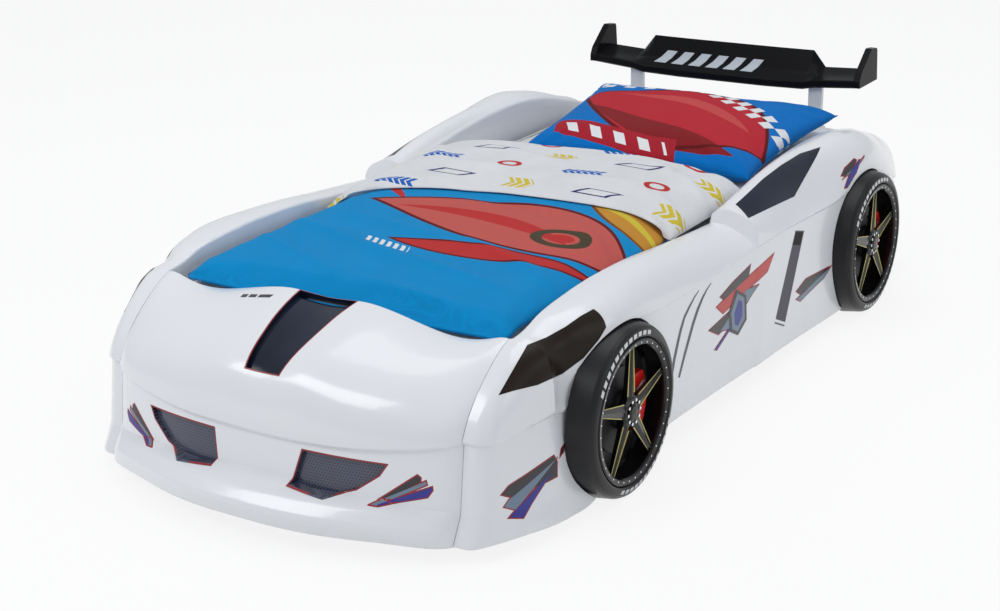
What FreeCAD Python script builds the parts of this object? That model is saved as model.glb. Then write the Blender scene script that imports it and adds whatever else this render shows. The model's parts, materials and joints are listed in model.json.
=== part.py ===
import FreeCAD, Part
import math
import os
from FreeCAD import Vector

# Children's car bed: a one-piece-looking white racing car made of moulded shells round a timber
# frame, with a slatted base, mattress, duvet and pillow inside.
# Frame: millimetres, +Z up, nose towards -Y, tail towards +Y, +X is the car's own left side.
# The origin is on the floor under the middle of the whole car.

doc = FreeCAD.newDocument("car_bed")

# ---------------------------------------------------------------- sizes
SIZES = {
    # the mattress and the bay that holds it
    "mattress_width": 900, "mattress_length": 1900, "mattress_thick": 118,
    "mattress_y": 100, "mattress_round": 24,
    "side_gap": 14, "end_gap": 18, "corner_round": 4,
    # the slatted frame
    "slat_top": 262, "slat_thick": 14, "slat_width": 68, "slat_count": 13,
    "rail_thick": 18, "rail_height": 112, "ledge_width": 24, "ledge_height": 26,
    "beam_width": 38, "beam_height": 58,
    "leg_size": 40, "pad_radius": 16, "pad_height": 8, "bracket_reach": 42,
    "bracket_height": 54, "bracket_thick": 3,
    # the moulded shells
    "shell_wall": 6, "seam_gap": 1.2, "rim_round": 9, "crease_round": 5, "foot_round": 7,
    # the wheels
    "wheel_radius": 190, "wheel_flare": 10, "tyre_depth": 63, "front_wheel_face": 629,
    "rear_wheel_face": 659, "front_wheel_back": 233, "rear_wheel_back": 346,
    "rim_radius": 163, "tyre_wall": 4, "well_gap": 1.5, "spoke_count": 5, "nut_count": 10,
    "disc_radius": 96, "disc_thick": 5, "hub_radius": 44, "cap_radius": 21,
    # the pieces let into the shells
    "pocket_depth": 3.6, "insert_sink": 0.6, "insert_gap": 0.4, "tray_wall": 3,
    "tray_depth": 11, "flange_width": 7, "flange_thick": 2.5,
    # the wing over the tail
    "wing_half_span": 447, "wing_kink": 265, "wing_front": 1103, "wing_chord": 95,
    "wing_lip_height": 497, "wing_lip_thick": 24, "wing_rise": 81, "wing_outer_rise": 42,
    "wing_skin": 7, "plate_thick": 20, "plate_top": 622, "strut_x": 298, "strut_width": 42,
    "strut_thick": 14, "plate_tail": 47,
    # fasteners
    "bolt_radius": 4, "bolt_head_radius": 8, "bolt_head_height": 5, "bolt_gap": 0.3,
    # the bedding
    "soft_gap": 0.5, "pillow_width": 780, "pillow_depth": 620, "pillow_thick": 126,
    "pillow_tilt": 2,
}

sheet = doc.addObject("Spreadsheet::Sheet", "Sizes")
for row, (alias, value) in enumerate(SIZES.items(), start=1):
    sheet.set("A%d" % row, alias)
    sheet.set("B%d" % row, str(value))
    sheet.setAlias("B%d" % row, alias)
doc.recompute()


def size(alias):
    return float(sheet.get(alias))


wall = size("shell_wall")
seam_x = size("mattress_width") / 2 + size("side_gap") - size("corner_round")
bay_front = size("mattress_y") - size("mattress_length") / 2 - size("end_gap")
bay_rear = size("mattress_y") + size("mattress_length") / 2 + size("end_gap")
nose_pivot = bay_front + size("corner_round")
tail_pivot = bay_rear - size("corner_round")
front_wheel_y = bay_front + size("front_wheel_back")
rear_wheel_y = bay_rear - size("rear_wheel_back")


# ---------------------------------------------------------------- sections
def corner(before, tip, after, reach):
    """Start, middle and end of the arc that rounds a corner, each side of it by reach."""
    one = (before - tip).normalize()
    two = (after - tip).normalize()
    half = one.getAngle(two) / 2
    way = (one + two).normalize()
    to_mid = reach / math.cos(half) - reach * math.tan(half)
    return [tip + one * reach, tip + way * to_mid, tip + two * reach]


def inset_line(points, depth):
    """The same outline, each point moved depth inwards (the outline runs clockwise)."""
    def unit(a, b):
        run = math.hypot(b[0] - a[0], b[1] - a[1])
        return (b[0] - a[0]) / run, (b[1] - a[1]) / run

    moved = []
    for i, p in enumerate(points):
        a = unit(points[i - 1], p)
        b = unit(p, points[(i + 1) % len(points)])
        n = (a[1] + b[1], -a[0] - b[0])
        scale = depth * 2 / (n[0] ** 2 + n[1] ** 2)
        moved.append((p[0] + n[0] * scale, p[1] + n[1] * scale))
    return moved


def outline(points, inset, place):
    """A section's points in space. An inset one is let down at both ends, so it cuts open."""
    if inset:
        points = inset_line(points, inset)
        points[0] = (points[0][0], points[0][1] - open_drop)
        points[-1] = (points[-1][0], points[-1][1] - open_drop)
    return [place(*p) for p in points]


def section(points, deck, rounds):
    """One closed cross-section.

    points: from the bottom of the inner wall up over the deck and down to the foot. deck: the
    last point of the smooth deck, which starts at point 1. rounds: how far each corner's arc
    reaches, by the point's index.
    """
    last = len(points) - 1
    arcs = {i: corner(points[i - 1], points[i], points[(i + 1) % len(points)], reach)
            for i, reach in rounds.items()}
    edges = []

    def line(a, b):
        edges.append(Part.LineSegment(a, b).toShape())

    line(points[0], arcs[1][0])
    edges.append(Part.Arc(*arcs[1]).toShape())
    curve = Part.BSplineCurve()
    curve.interpolate([arcs[1][2]] + points[2:deck] + [arcs[deck][0]])
    edges.append(curve.toShape())
    for i in range(deck, last + 1):
        here = points[i]
        if i in arcs:
            edges.append(Part.Arc(*arcs[i]).toShape())
            here = arcs[i][2]
        ahead = points[0] if i == last else points[i + 1]
        line(here, arcs[i + 1][0] if i + 1 in arcs else ahead)
    return Part.Wire(edges)


def faired(rows, spacing):
    """More outlines between the given ones, each point on a smooth line through the rows."""
    count = len(rows)

    def slope(track, i):
        if i == 0:
            return (track[1] - track[0])
        if i == count - 1:
            return (track[-1] - track[-2])
        before = max((track[i] - track[i - 1]).Length, 0.001)
        after = max((track[i + 1] - track[i]).Length, 0.001)
        return ((track[i] - track[i - 1]) * (after / before) +
                (track[i + 1] - track[i]) * (before / after)) * (1 / (before + after))

    tracks = [[row[j] for row in rows] for j in range(len(rows[0]))]
    filled = []
    for i in range(count - 1):
        gap = max((track[i + 1] - track[i]).Length for track in tracks)
        steps = max(1, round(gap / spacing))
        for k in range(steps):
            t = k / steps
            outline_here = []
            for track in tracks:
                run = (track[i + 1] - track[i]).Length
                one = slope(track, i) * (1 if i == 0 else run)
                two = slope(track, i + 1) * (1 if i + 1 == count - 1 else run)
                outline_here.append(track[i] * (2 * t ** 3 - 3 * t ** 2 + 1) +
                                    one * (t ** 3 - 2 * t ** 2 + t) +
                                    track[i + 1] * (3 * t ** 2 - 2 * t ** 3) +
                                    two * (t ** 3 - t ** 2))
            filled.append(outline_here)
    filled.append(rows[-1])
    return filled


def lofted(rows, deck, rounds, spacing):
    wires = [section(points, deck, rounds) for points in faired(rows, spacing)]
    return Part.makeLoft(wires, True, False)


# ---------------------------------------------------------------- the side panel's lines
# Each row: where the section stands, then the rim height at the bay, and the points out from
# the seam line: deck, edge of the deck, flank, crease, knee and foot, each (out, height), and how
# far the surface steps in under the crease.
NOSE_FAN = [  # angle from straight ahead, about the bay's front corner
    (0, 412, (45, 396), (88, 370), (150, 318), (197, 250), (210, 92), (243, 33), 8),
    (9, 412, (45, 397), (88, 372), (149, 321), (195, 250), (208, 92), (239, 33), 8),
    (18, 412, (44, 399), (86, 377), (141, 326), (181, 250), (192, 91), (212, 34), 8),
    (28, 412, (43, 402), (80, 383), (122, 334), (148, 252), (158, 89), (182, 33), 8),
    (42, 412, (42, 405), (74, 387), (105, 339), (121, 255), (131, 87), (153, 30), 8),
    (58, 412, (42, 408), (72, 390), (96, 341), (105, 257), (115, 85), (137, 27), 8),
    (74, 412, (43, 409), (73, 390), (94, 342), (100, 259), (110, 83), (131, 25), 8),
    (90, 413, (44, 411), (77, 391), (96, 344), (102, 261), (112, 81), (132, 23), 8),
]
WING_SIDE = [  # distance behind the front wheel's centre
    (-145, 430, (46, 430), (84, 412), (104, 364), (109, 280), (119, 80), (137, 20), 7),
    (-95, 438, (47, 440), (88, 430), (115, 394), (124, 335), (130, 92), (139, 34), 5),
    (-30, 443, (48, 446), (90, 441), (123, 416), (137, 376), (137, 115), (136, 48), 3),
    (60, 447, (48, 450), (90, 445), (124, 420), (139, 380), (136, 126), (130, 54), 3),
    (150, 446, (48, 449), (90, 440), (120, 410), (135, 367), (134, 129), (125, 55), 3),
]
DOOR = [  # distance ahead of the rear wheel's centre
    (-1118, 442, (48, 446), (89, 434), (118, 402), (133, 361), (133, 130), (124, 54), 3),
    (-950, 426, (48, 428), (86, 418), (115, 390), (132, 356), (134, 125), (127, 50), 3),
    (-800, 413, (47, 414), (83, 404), (113, 381), (132, 356), (136, 118), (130, 45), 3),
    (-660, 403, (46, 402), (81, 392), (112, 374), (133, 357), (139, 112), (134, 40), 3),
]
QUARTER = [  # distance ahead of the rear wheel's centre, from the top of the step on
    (-648, 424, (46, 438), (68, 434), (106, 417), (134, 357), (140, 110), (136, 38), 3),
    (-490, 441, (48, 468), (66, 462), (108, 414), (136, 356), (143, 106), (139, 35), 3),
    (-330, 461, (49, 485), (68, 478), (111, 410), (140, 350), (148, 100), (144, 30), 3),
    (-220, 470, (50, 489), (76, 482), (120, 414), (146, 348), (153, 98), (149, 27), 3),
    (-118, 474, (50, 490), (90, 485), (134, 428), (154, 358), (156, 96), (152, 25), 3),
    (0, 470, (50, 488), (98, 485), (143, 444), (160, 384), (158, 96), (154, 25), 3),
    (140, 449, (50, 465), (94, 456), (136, 415), (155, 356), (154, 98), (150, 28), 3),
    (255, 420, (48, 429), (86, 414), (122, 374), (141, 312), (145, 102), (141, 34), 4),
]
TAIL_FAN = [  # angle round from straight out, about the bay's rear corner
    (0, 396, (45, 401), (78, 385), (105, 345), (120, 285), (128, 106), (124, 40), 5),
    (25, 389, (46, 391), (79, 374), (104, 332), (118, 268), (126, 108), (122, 42), 6),
    (50, 386, (48, 386), (84, 369), (110, 324), (123, 256), (130, 110), (126, 44), 6),
    (70, 385, (50, 384), (90, 366), (117, 318), (129, 247), (136, 110), (132, 45), 6),
    (90, 385, (52, 384), (94, 365), (122, 315), (134, 243), (141, 110), (137, 45), 6),
]
inner_foot = 60        # height of the inner wall's lower edge
open_drop = 60         # how far a hollow is let down past the shell's foot
fair_spacing = 80      # how close the sections between the rows stand
side_rounds = {1: size("rim_round"), 5: size("crease_round"), 7: size("foot_round"),
               8: size("foot_round")}


def side_points(row):
    rim, deck, edge, flank, crease, knee, foot, step = row[1:]
    bay = size("corner_round")
    under = (crease[0] - step, crease[1] - step)
    return [(bay, inner_foot), (bay, rim), deck, edge, flank, crease, under, knee, foot]


def fan(row, pivot_y, turn):
    """A section on a vertical plane through the bay's corner, turned to the row's angle."""
    angle = math.radians(turn + row[0])
    way = (math.cos(angle), math.sin(angle))
    return lambda out, up: Vector(seam_x + way[0] * out, pivot_y + way[1] * out, up)


def across(y):
    return lambda out, up: Vector(seam_x + out, y, up)


def side_lofts(inset=0):
    """The left side panel's outer form, in five lengths, or the same form inset by a wall."""
    nose_fan = [outline(side_points(row), inset, fan(row, nose_pivot, -90)) for row in NOSE_FAN]
    fender = ([nose_fan[-1]] +
              [outline(side_points(row), inset, across(front_wheel_y + row[0]))
               for row in WING_SIDE] +
              [outline(side_points(row), inset, across(rear_wheel_y + row[0])) for row in DOOR])
    tail_fan = [outline(side_points(row), inset, fan(row, tail_pivot, 0)) for row in TAIL_FAN]
    quarter = ([outline(side_points(row), inset, across(rear_wheel_y + row[0]))
                for row in QUARTER] + [tail_fan[0]])
    return [lofted(rows, 5, side_rounds, spacing) for rows, spacing in
            ((nose_fan, 24), (fender, fair_spacing), ([fender[-1], quarter[0]], fair_spacing),
             (quarter, fair_spacing), (tail_fan, 28))]


# ---------------------------------------------------------------- the nose and tail lines
# Each row: distance from the middle, then rim height, deck, edge, flank, brow, crease, shelf
# root, shelf front, lip and foot, each (ahead of the bay, height), and the step under the crease.
NOSE = [
    (0, 424, (72, 411), (165, 380), (258, 324), (283, 272), (288, 212), (297, 132),
     (350, 113), (378, 86), (366, 42), 9),
    (95, 429, (72, 416), (165, 385), (257, 328), (282, 272), (287, 213), (296, 131),
     (346, 113), (374, 86), (363, 42), 9),
    (200, 414, (70, 405), (158, 375), (247, 321), (275, 270), (282, 217), (290, 128),
     (330, 111), (356, 83), (347, 41), 9),
    (337, 391, (62, 389), (138, 366), (218, 316), (247, 274), (258, 231), (266, 118),
     (292, 104), (313, 76), (306, 39), 9),
    (410, 402, (50, 394), (108, 370), (186, 317), (220, 279), (234, 241), (243, 108),
     (262, 98), (284, 70), (281, 36), 8.5),
]
NOSE_END = (412, (45, 396), (88, 370), (150, 318), (176, 288), (197, 250), (207, 112),
            (210, 92), (229, 62), (243, 33), 8)
nose_rounds = {1: size("rim_round"), 6: size("crease_round"), 9: 10, 10: 9,
               11: size("foot_round")}


def nose_points(row):
    rim, deck, edge, flank, brow, crease, root, shelf, lip, foot, step = row
    bay = size("corner_round")
    under = (crease[0] - step, crease[1] - step)
    return [(bay, inner_foot), (bay, rim), deck, edge, flank, brow, crease, under,
            root, shelf, lip, foot]


def along(x, pivot_y, way):
    return lambda out, up: Vector(x, pivot_y + way * out, up)


def nose_form(inset=0):
    """The outer form of the front panel, from one seam to the other."""
    end_x = seam_x - size("seam_gap")
    half = [(row[0], row[1:]) for row in NOSE] + [(end_x, NOSE_END)]
    rows = [(-x, row) for x, row in reversed(half[1:])] + half
    outlines = [outline(nose_points(row), inset, along(x, nose_pivot, -1)) for x, row in rows]
    return lofted(outlines, 6, nose_rounds, fair_spacing)


# ---------------------------------------------------------------- the tail panel's lines
# Each row: distance from the middle, then as in the side panel's rows, behind the bay.
TAIL = [
    (0, 394, (56, 394), (106, 376), (138, 324), (152, 246), (158, 110), (153, 45), 6),
    (150, 393, (56, 393), (105, 375), (137, 323), (150, 246), (157, 110), (152, 45), 6),
    (330, 389, (54, 389), (100, 371), (130, 319), (143, 245), (150, 110), (146, 45), 6),
]


def tail_form(inset=0):
    """The outer form of the tail panel, from one seam to the other."""
    end_x = seam_x - size("seam_gap")
    half = TAIL + [(end_x,) + TAIL_FAN[-1][1:]]
    rows = [(-row[0],) + row[1:] for row in reversed(half[1:])] + half
    outlines = [outline(side_points(row), inset, along(row[0], tail_pivot, 1)) for row in rows]
    return lofted(outlines, 5, side_rounds, fair_spacing * 1.5)


# ---------------------------------------------------------------- small helpers
nodes = {}


def feature(label, shape):
    """A sub-part whose shape is worked out here rather than from a sketch or a primitive."""
    piece = doc.addObject("Part::Feature", label)
    piece.Label = label
    piece.Shape = shape
    piece.Placement = FreeCAD.Placement()
    nodes[label] = piece
    return piece


def kept(make):
    """Keeps each form by its inset, because several cuts use the same one."""
    made = {}

    def form(inset=0):
        if inset not in made:
            made[inset] = make(inset)
        return made[inset]
    return form


nose_form = kept(nose_form)
tail_form = kept(tail_form)
side_lofts = kept(side_lofts)


def mirrored(shape):
    return shape.mirror(Vector(0, 0, 0), Vector(1, 0, 0))


def feature_pair(label, shape):
    """The same sub-part on the car's left (+X) and, mirrored, on its right."""
    feature(label + "_left", shape)
    feature(label + "_right", mirrored(shape))


def block(x, y, z):
    """A box from its lowest and highest values along each axis."""
    corner_point = Vector(x[0], y[0], z[0])
    return Part.makeBox(x[1] - x[0], y[1] - y[0], z[1] - z[0], corner_point)


def rod(radius, start, way, length):
    return Part.makeCylinder(radius, length, start, way)


def prism(points, way, grow, near, far):
    """A bar along way whose outline is the given points, from far behind to near ahead of them."""
    way = Vector(*way).normalize()
    points = [Vector(*p) for p in points]
    reaches = [p.dot(way) for p in points]
    flat = [p - way * p.dot(way) for p in points]
    wire = Part.makePolygon(flat + flat[:1])
    if grow:
        wire = wire.makeOffset2D(grow, 2)
    face = Part.Face(wire)
    face.translate(way * (min(reaches) - far))
    return face.extrude(way * (max(reaches) - min(reaches) + near + far))


def bolt(head, way, grip):
    """A button-headed bolt and its nut: grip is what it clamps, from under the head on."""
    way = Vector(*way).normalize()
    head = Vector(*head)
    height = size("bolt_head_height")
    cap = rod(size("bolt_head_radius"), head - way * height, way, height)
    shank = rod(size("bolt_radius"), head, way, grip + height)
    nut = rod(size("bolt_head_radius"), head + way * grip, way, height)
    return cap.fuse([shank, nut])


def bolt_hole(head, way, grip):
    reach = size("bolt_head_height") * 2
    way = Vector(*way).normalize()
    return rod(size("bolt_radius") + size("bolt_gap"), Vector(*head) - way * reach, way,
               grip + reach * 2)


# ---------------------------------------------------------------- wheels
wheel_z = size("wheel_radius")
hub_face = 9           # how deep behind the wheel's face the middle of the rim lies
flank_radius = size("wheel_radius") + size("wheel_flare")
wheels = {"front": (front_wheel_y, size("front_wheel_face")),
          "rear": (rear_wheel_y, size("rear_wheel_face"))}


def turned(profile, face_x, y):
    """A profile of (radius, depth behind the face) turned round the wheel's axis."""
    points = [Vector(face_x - depth, y, wheel_z + radius) for radius, depth in profile]
    face = Part.Face(Part.makePolygon(points + points[:1]))
    return face.revolve(Vector(face_x, y, wheel_z), Vector(1, 0, 0), 360)


def tyre(y, face_x):
    """The moulded wheel housing: flank, side wall and a dished back, cut flat on the floor."""
    r = size("wheel_radius")
    lip = size("rim_radius") + 1
    t = size("tyre_wall")
    depth = size("tyre_depth")
    back = depth - 2 * t
    outer = [(flank_radius, depth), (r + 3, 15), (r - 1, 7), (r - 6, 3), (r - 12, 1),
             (r - 19, 0), (lip + 3, 2), (lip, 6), (lip, back), (0, back), (0, back + t),
             (lip + t, back + t), (lip + t, 9), (r - 19, t), (r - 12, t + 1), (r - 8, t + 4),
             (r - t, 17), (flank_radius - t, depth)]
    shape = turned(outer, face_x, y)
    below = block((face_x - depth - 1, face_x + 1), (y - 250, y + 250), (-50, 0))
    return shape.cut(below)


def wheel_rim(y, face_x):
    """Barrel, lip and five tapering spokes."""
    outer = size("rim_radius")
    back = size("tyre_depth") - 2 * size("tyre_wall")
    barrel = turned([(outer, 3), (outer - 3, 1), (outer - 13, 3), (outer - 16, 7),
                     (outer - 16, 12), (outer - 11, 14), (outer - 11, back - 3),
                     (outer - 20, back), (outer, back)], face_x, y)
    hub = turned([(0, hub_face), (31, hub_face), (36, hub_face + 4), (36, 30), (0, 30)],
                 face_x, y)
    spokes = []
    for k in range(int(size("spoke_count"))):
        turn = 90 + 360 / size("spoke_count") * k
        root = [(24, -17, 14), (24, 0, 10), (24, 17, 14), (24, 15, 27), (24, -15, 27)]
        tip = [(outer - 12, -8, 12), (outer - 12, 0, 8), (outer - 12, 8, 12),
               (outer - 12, 7, 20), (outer - 12, -7, 20)]
        wires = [Part.makePolygon([Vector(face_x - d, y + s, wheel_z + r)
                                   for r, s, d in ring + ring[:1]]) for ring in (root, tip)]
        spoke = Part.makeLoft(wires, True, True)
        spoke.rotate(Vector(face_x, y, wheel_z), Vector(1, 0, 0), turn - 90)
        spokes.append(spoke)
    return barrel.fuse([hub] + spokes)


def brake_disc(y, face_x):
    r = size("disc_radius")
    hub = size("hub_radius")
    back = size("tyre_depth") - 2 * size("tyre_wall")
    thick = size("disc_thick")
    front = back - 14
    return turned([(0, 30), (hub, 30), (hub, front), (r, front), (r, front + thick),
                   (hub, front + thick), (hub, back), (0, back)], face_x, y)


def caliper(y, face_x):
    """The brake caliper, behind the hub, round the edge of the disc."""
    back = size("tyre_depth") - 2 * size("tyre_wall")
    front = back - 14
    ring = turned([(size("disc_radius") - 30, front - 8), (size("disc_radius") + 14, front - 8),
                   (size("disc_radius") + 14, back), (size("disc_radius") - 30, back)],
                  face_x, y)
    slot = turned([(0, front - 1), (size("disc_radius") + 2, front - 1),
                   (size("disc_radius") + 2, front + size("disc_thick") + 1),
                   (0, front + size("disc_thick") + 1)], face_x, y)
    half = 62
    part_of = block((face_x - back - 5, face_x), (y, y + 200), (wheel_z - half, wheel_z + half))
    return ring.common(part_of).cut(slot)


def hub_cap(y, face_x):
    r = size("cap_radius")
    return turned([(0, hub_face - 7), (r - 6, hub_face - 6), (r, hub_face - 3), (r, hub_face),
                   (0, hub_face)], face_x, y)


def wheel_nuts(y, face_x):
    """Small six-sided nuts in a ring round the hub cap."""
    nuts = []
    for k in range(int(size("nut_count"))):
        angle = 2 * math.pi / size("nut_count") * (k + 0.5)
        ring = size("cap_radius") + 6
        centre = Vector(face_x - hub_face, y + ring * math.sin(angle), wheel_z + ring * math.cos(angle))
        points = [centre + Vector(0, 4 * math.sin(math.radians(a)), 4 * math.cos(math.radians(a)))
                  for a in range(0, 420, 60)]
        nuts.append(Part.Face(Part.makePolygon(points)).extrude(Vector(5, 0, 0)))
    return nuts


all_nuts = []
for place, (wheel_y, face_x) in wheels.items():
    feature_pair("tyre_" + place, tyre(wheel_y, face_x))
    feature_pair("rim_" + place, wheel_rim(wheel_y, face_x))
    feature_pair("brake_disc_" + place, brake_disc(wheel_y, face_x))
    feature_pair("caliper_" + place, caliper(wheel_y, face_x))
    feature_pair("hub_cap_" + place, hub_cap(wheel_y, face_x))
    ring = wheel_nuts(wheel_y, face_x)
    all_nuts += ring + [mirrored(nut) for nut in ring]
feature("wheel_nuts", Part.makeCompound(all_nuts))

# ---------------------------------------------------------------- outlines of the let-in pieces
lamp_way = (0.47, -0.80, 0.37)
lamp_outline = [(501, -986, 333), (516, -950, 333), (545, -905, 335), (572, -850, 345),
                (588, -790, 362), (597, -740, 388), (600, -689, 420), (560, -698, 436),
                (552, -740, 432), (545, -790, 424), (528, -840, 414), (502, -872, 403)]
window_way = (0.8, 0, 0.6)
window_outline = [(516, 108, 446), (566, 84, 426), (566, 345, 407), (545, 572, 484),
                  (516, 480, 479), (516, 370, 478), (516, 263, 470)]
vent_way = (1, 0, 0)
vent_outline = [(600, 298, 335), (600, 352, 320), (600, 232, 109), (600, 174, 136)]
intake_way = (0.12, -1, 0.1)
intake_outline = [(118, -1160, 196), (317, -1090, 193), (300, -1100, 165), (250, -1110, 128),
                  (189, -1128, 108), (96, -1150, 118)]
hood_way = (0, -0.35, 0.94)
hood_outline = [(-80, -872, 424), (80, -872, 424), (68, -985, 396), (47, -1118, 335),
                (-47, -1118, 335), (-68, -985, 396)]
tail_lamp_way = (0.25, 1, 0)
tail_lamp_outline = [(200, 1200, 300), (430, 1190, 305), (445, 1190, 250), (215, 1200, 258)]
diffuser_way = (0, 1, 0)
diffuser_outline = [(-260, 1220, 200), (260, 1220, 200), (215, 1220, 95), (-215, 1220, 95)]
outside = 40           # how far a cutting bar stands out of the shell
tray_reach = 30        # how far a tray's bar goes in past its outline
pocket_reach = 8       # and a pocket's
pocket_room = 18       # pockets keep this far from the wall of the bay

# ---------------------------------------------------------------- moulded shells
pocket = size("pocket_depth")
sink = size("insert_sink")
gap = size("insert_gap")


def hollowed(outer, inner, keep):
    return outer.cut(inner.common(keep))


def let_in(outline_points, way, surface, floor, room):
    """A plate let into a blind pocket: the tool that cuts the pocket, and the plate.

    surface and floor are lists of neighbouring lengths of the form; room leaves out its far side.
    """
    tool = prism(outline_points, way, 0, outside, pocket_reach).common(room).cut(floor)
    bar = prism(outline_points, way, -gap, outside, pocket_reach).common(room)
    parts = [bar.common(top).cut(under) for top, under in zip(surface, floor)]
    return tool, parts[0].fuse(parts[1:]) if parts[1:] else parts[0]


def tray(outline_points, way, form):
    """A tray let through the shell: the hole's tool, and the tray with its flange inside."""
    hole = prism(outline_points, way, 0, outside, tray_reach)
    outer = prism(outline_points, way, -gap, outside, tray_reach)
    inner = prism(outline_points, way, -gap - size("tray_wall"), outside, tray_reach)
    depth = size("tray_depth")
    body = outer.common(form(sink)).cut(form(depth + size("tray_wall")))
    body = body.cut(inner.cut(form(depth)))
    flange = prism(outline_points, way, size("flange_width"), outside, tray_reach)
    flange = flange.common(form(wall)).cut(form(wall + size("flange_thick"))).cut(inner)
    return hole, body.fuse(flange)


big = 3000
between_seams = seam_x - size("seam_gap") - wall
nose_room = block((-between_seams, between_seams), (-big, big), (-big, big))
front_shell = hollowed(nose_form(), nose_form(wall), nose_room)
hole_intake, intake = tray(intake_outline, intake_way, nose_form)
hole_hood, hood_insert = tray(hood_outline, hood_way, nose_form)
front_shell = front_shell.cut([hole_intake, mirrored(hole_intake), hole_hood])
feature_pair("intake_grille", intake)
feature("hood_insert", hood_insert)

tail_shell = hollowed(tail_form(), tail_form(wall), nose_room)
lamp_floor = [tail_form(pocket)]
lamp_surface = [tail_form(sink)]
tail_room = block((-big, big), (tail_pivot + pocket_room, big), (0, big))
lamp_tool, tail_lamp = let_in(tail_lamp_outline, tail_lamp_way, lamp_surface, lamp_floor,
                              tail_room)
diffuser_tool, diffuser = let_in(diffuser_outline, diffuser_way, lamp_surface, lamp_floor,
                                 tail_room)
tail_shell = tail_shell.cut([lamp_tool, mirrored(lamp_tool), diffuser_tool])
feature_pair("tail_lamp", tail_lamp)
feature("tail_diffuser", diffuser)

side_room = block((seam_x + wall, big), (-big, big), (-big, big))
lengths = [hollowed(outer, inner, side_room)
           for outer, inner in zip(side_lofts(), side_lofts(wall))]
flank_room = block((seam_x + pocket_room, big), (-big, big), (0, big))
side_cuts = []
for label, points, way, picks in (("headlamp_cover", lamp_outline, lamp_way, (0, 1)),
                                  ("side_window", window_outline, window_way, (2, 3)),
                                  ("side_vent", vent_outline, vent_way, (3,))):
    tool, plate = let_in(points, way, [side_lofts(sink)[i] for i in picks],
                         [side_lofts(pocket)[i] for i in picks], flank_room)
    feature_pair(label, plate)
    side_cuts.append(tool)

pockets = list(side_cuts)
cups = []
for i, (wheel_y, face_x) in zip((1, 3), wheels.values()):
    seat_x = face_x - size("tyre_depth")
    well = flank_radius + size("well_gap")
    axis = Vector(1, 0, 0)
    cut_away = rod(well, Vector(seat_x, wheel_y, wheel_z), axis, size("tyre_depth") * 2)
    cup = rod(well + wall, Vector(seat_x - wall, wheel_y, wheel_z), axis, size("tyre_depth") * 2)
    cups.append(cup.common(side_lofts()[i]).cut(pockets + [cut_away]))
    side_cuts.append(cut_away)

# bolts that draw the panels together at the seams, and hold the panels to the timber frame
seam_bolts = []
for y, heights in ((nose_pivot - 96, (105, 200)), (tail_pivot + 68, (105, 200))):
    for z in heights:
        for side in (-1, 1):
            seam_bolts.append(((side * between_seams, y, z), (side, 0, 0),
                               wall * 2 + size("seam_gap")))
rail_inner = size("mattress_width") / 2 + size("side_gap") - size("rail_thick")
rail_mid = size("slat_top") - size("rail_height") + 34
bay_length = bay_rear - bay_front
rail_bolts = []
for share in (0.07, 0.34, 0.66, 0.93):
    for side in (-1, 1):
        rail_bolts.append(((side * rail_inner, bay_front + bay_length * share, rail_mid),
                           (side, 0, 0), size("rail_thick") + wall))
for side in (-1, 1):
    for way, y in ((-1, bay_front), (1, bay_rear)):
        rail_bolts.append(((side * rail_inner * 0.55, y - way * size("rail_thick"), rail_mid),
                           (0, way, 0), size("rail_thick") + wall))


def holes(bolts, keep=None):
    return [bolt_hole(*one) for one in bolts if keep is None or keep(*one)]


def turned_out(side):
    """Picks the bolts that go through the side panel on the +X side, or the end panels."""
    return {"left": lambda head, way, grip: way[0] > 0,
            "front": lambda head, way, grip: head[1] < 0 and (way[1] or abs(head[1]) > 900),
            "rear": lambda head, way, grip: head[1] > 0 and (way[1] or abs(head[1]) > 1070),
            }[side]


side_cuts += holes(seam_bolts + rail_bolts, turned_out("left"))
side_shell = lengths[0].fuse(lengths[1:]).cut(side_cuts).fuse(cups)
feature_pair("side_panel", side_shell)
feature("front_panel", front_shell.cut(holes(seam_bolts + rail_bolts, turned_out("front"))))
feature("rear_panel", tail_shell.cut(holes(seam_bolts + rail_bolts, turned_out("rear"))))
feature("seam_bolts", Part.makeCompound([bolt(*one) for one in seam_bolts]))
feature("rail_bolts", Part.makeCompound([bolt(*one) for one in rail_bolts]))

# ---------------------------------------------------------------- the wing over the tail
def wing_section(x, lip_height, rise, thick):
    """One slice of the blade: a lip at the front, a hollow top rising to a thin rear edge."""
    front = size("wing_front")
    rear = front + size("wing_chord")
    lip = size("wing_lip_thick")
    top = lip_height + lip
    points = [(front + 6, lip_height), (front, lip_height + 5), (front, top - 3),
              (front + 3, top), (front + 0.45 * size("wing_chord"), top + 0.28 * (rise - lip)),
              (rear - 4, lip_height + rise), (rear, lip_height + rise - 2),
              (rear, lip_height + rise - thick),
              (front + 0.5 * size("wing_chord"), top + 0.28 * (rise - lip) - thick * 1.6)]
    return Part.makePolygon([Vector(x, y, z) for y, z in points + points[:1]])


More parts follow.
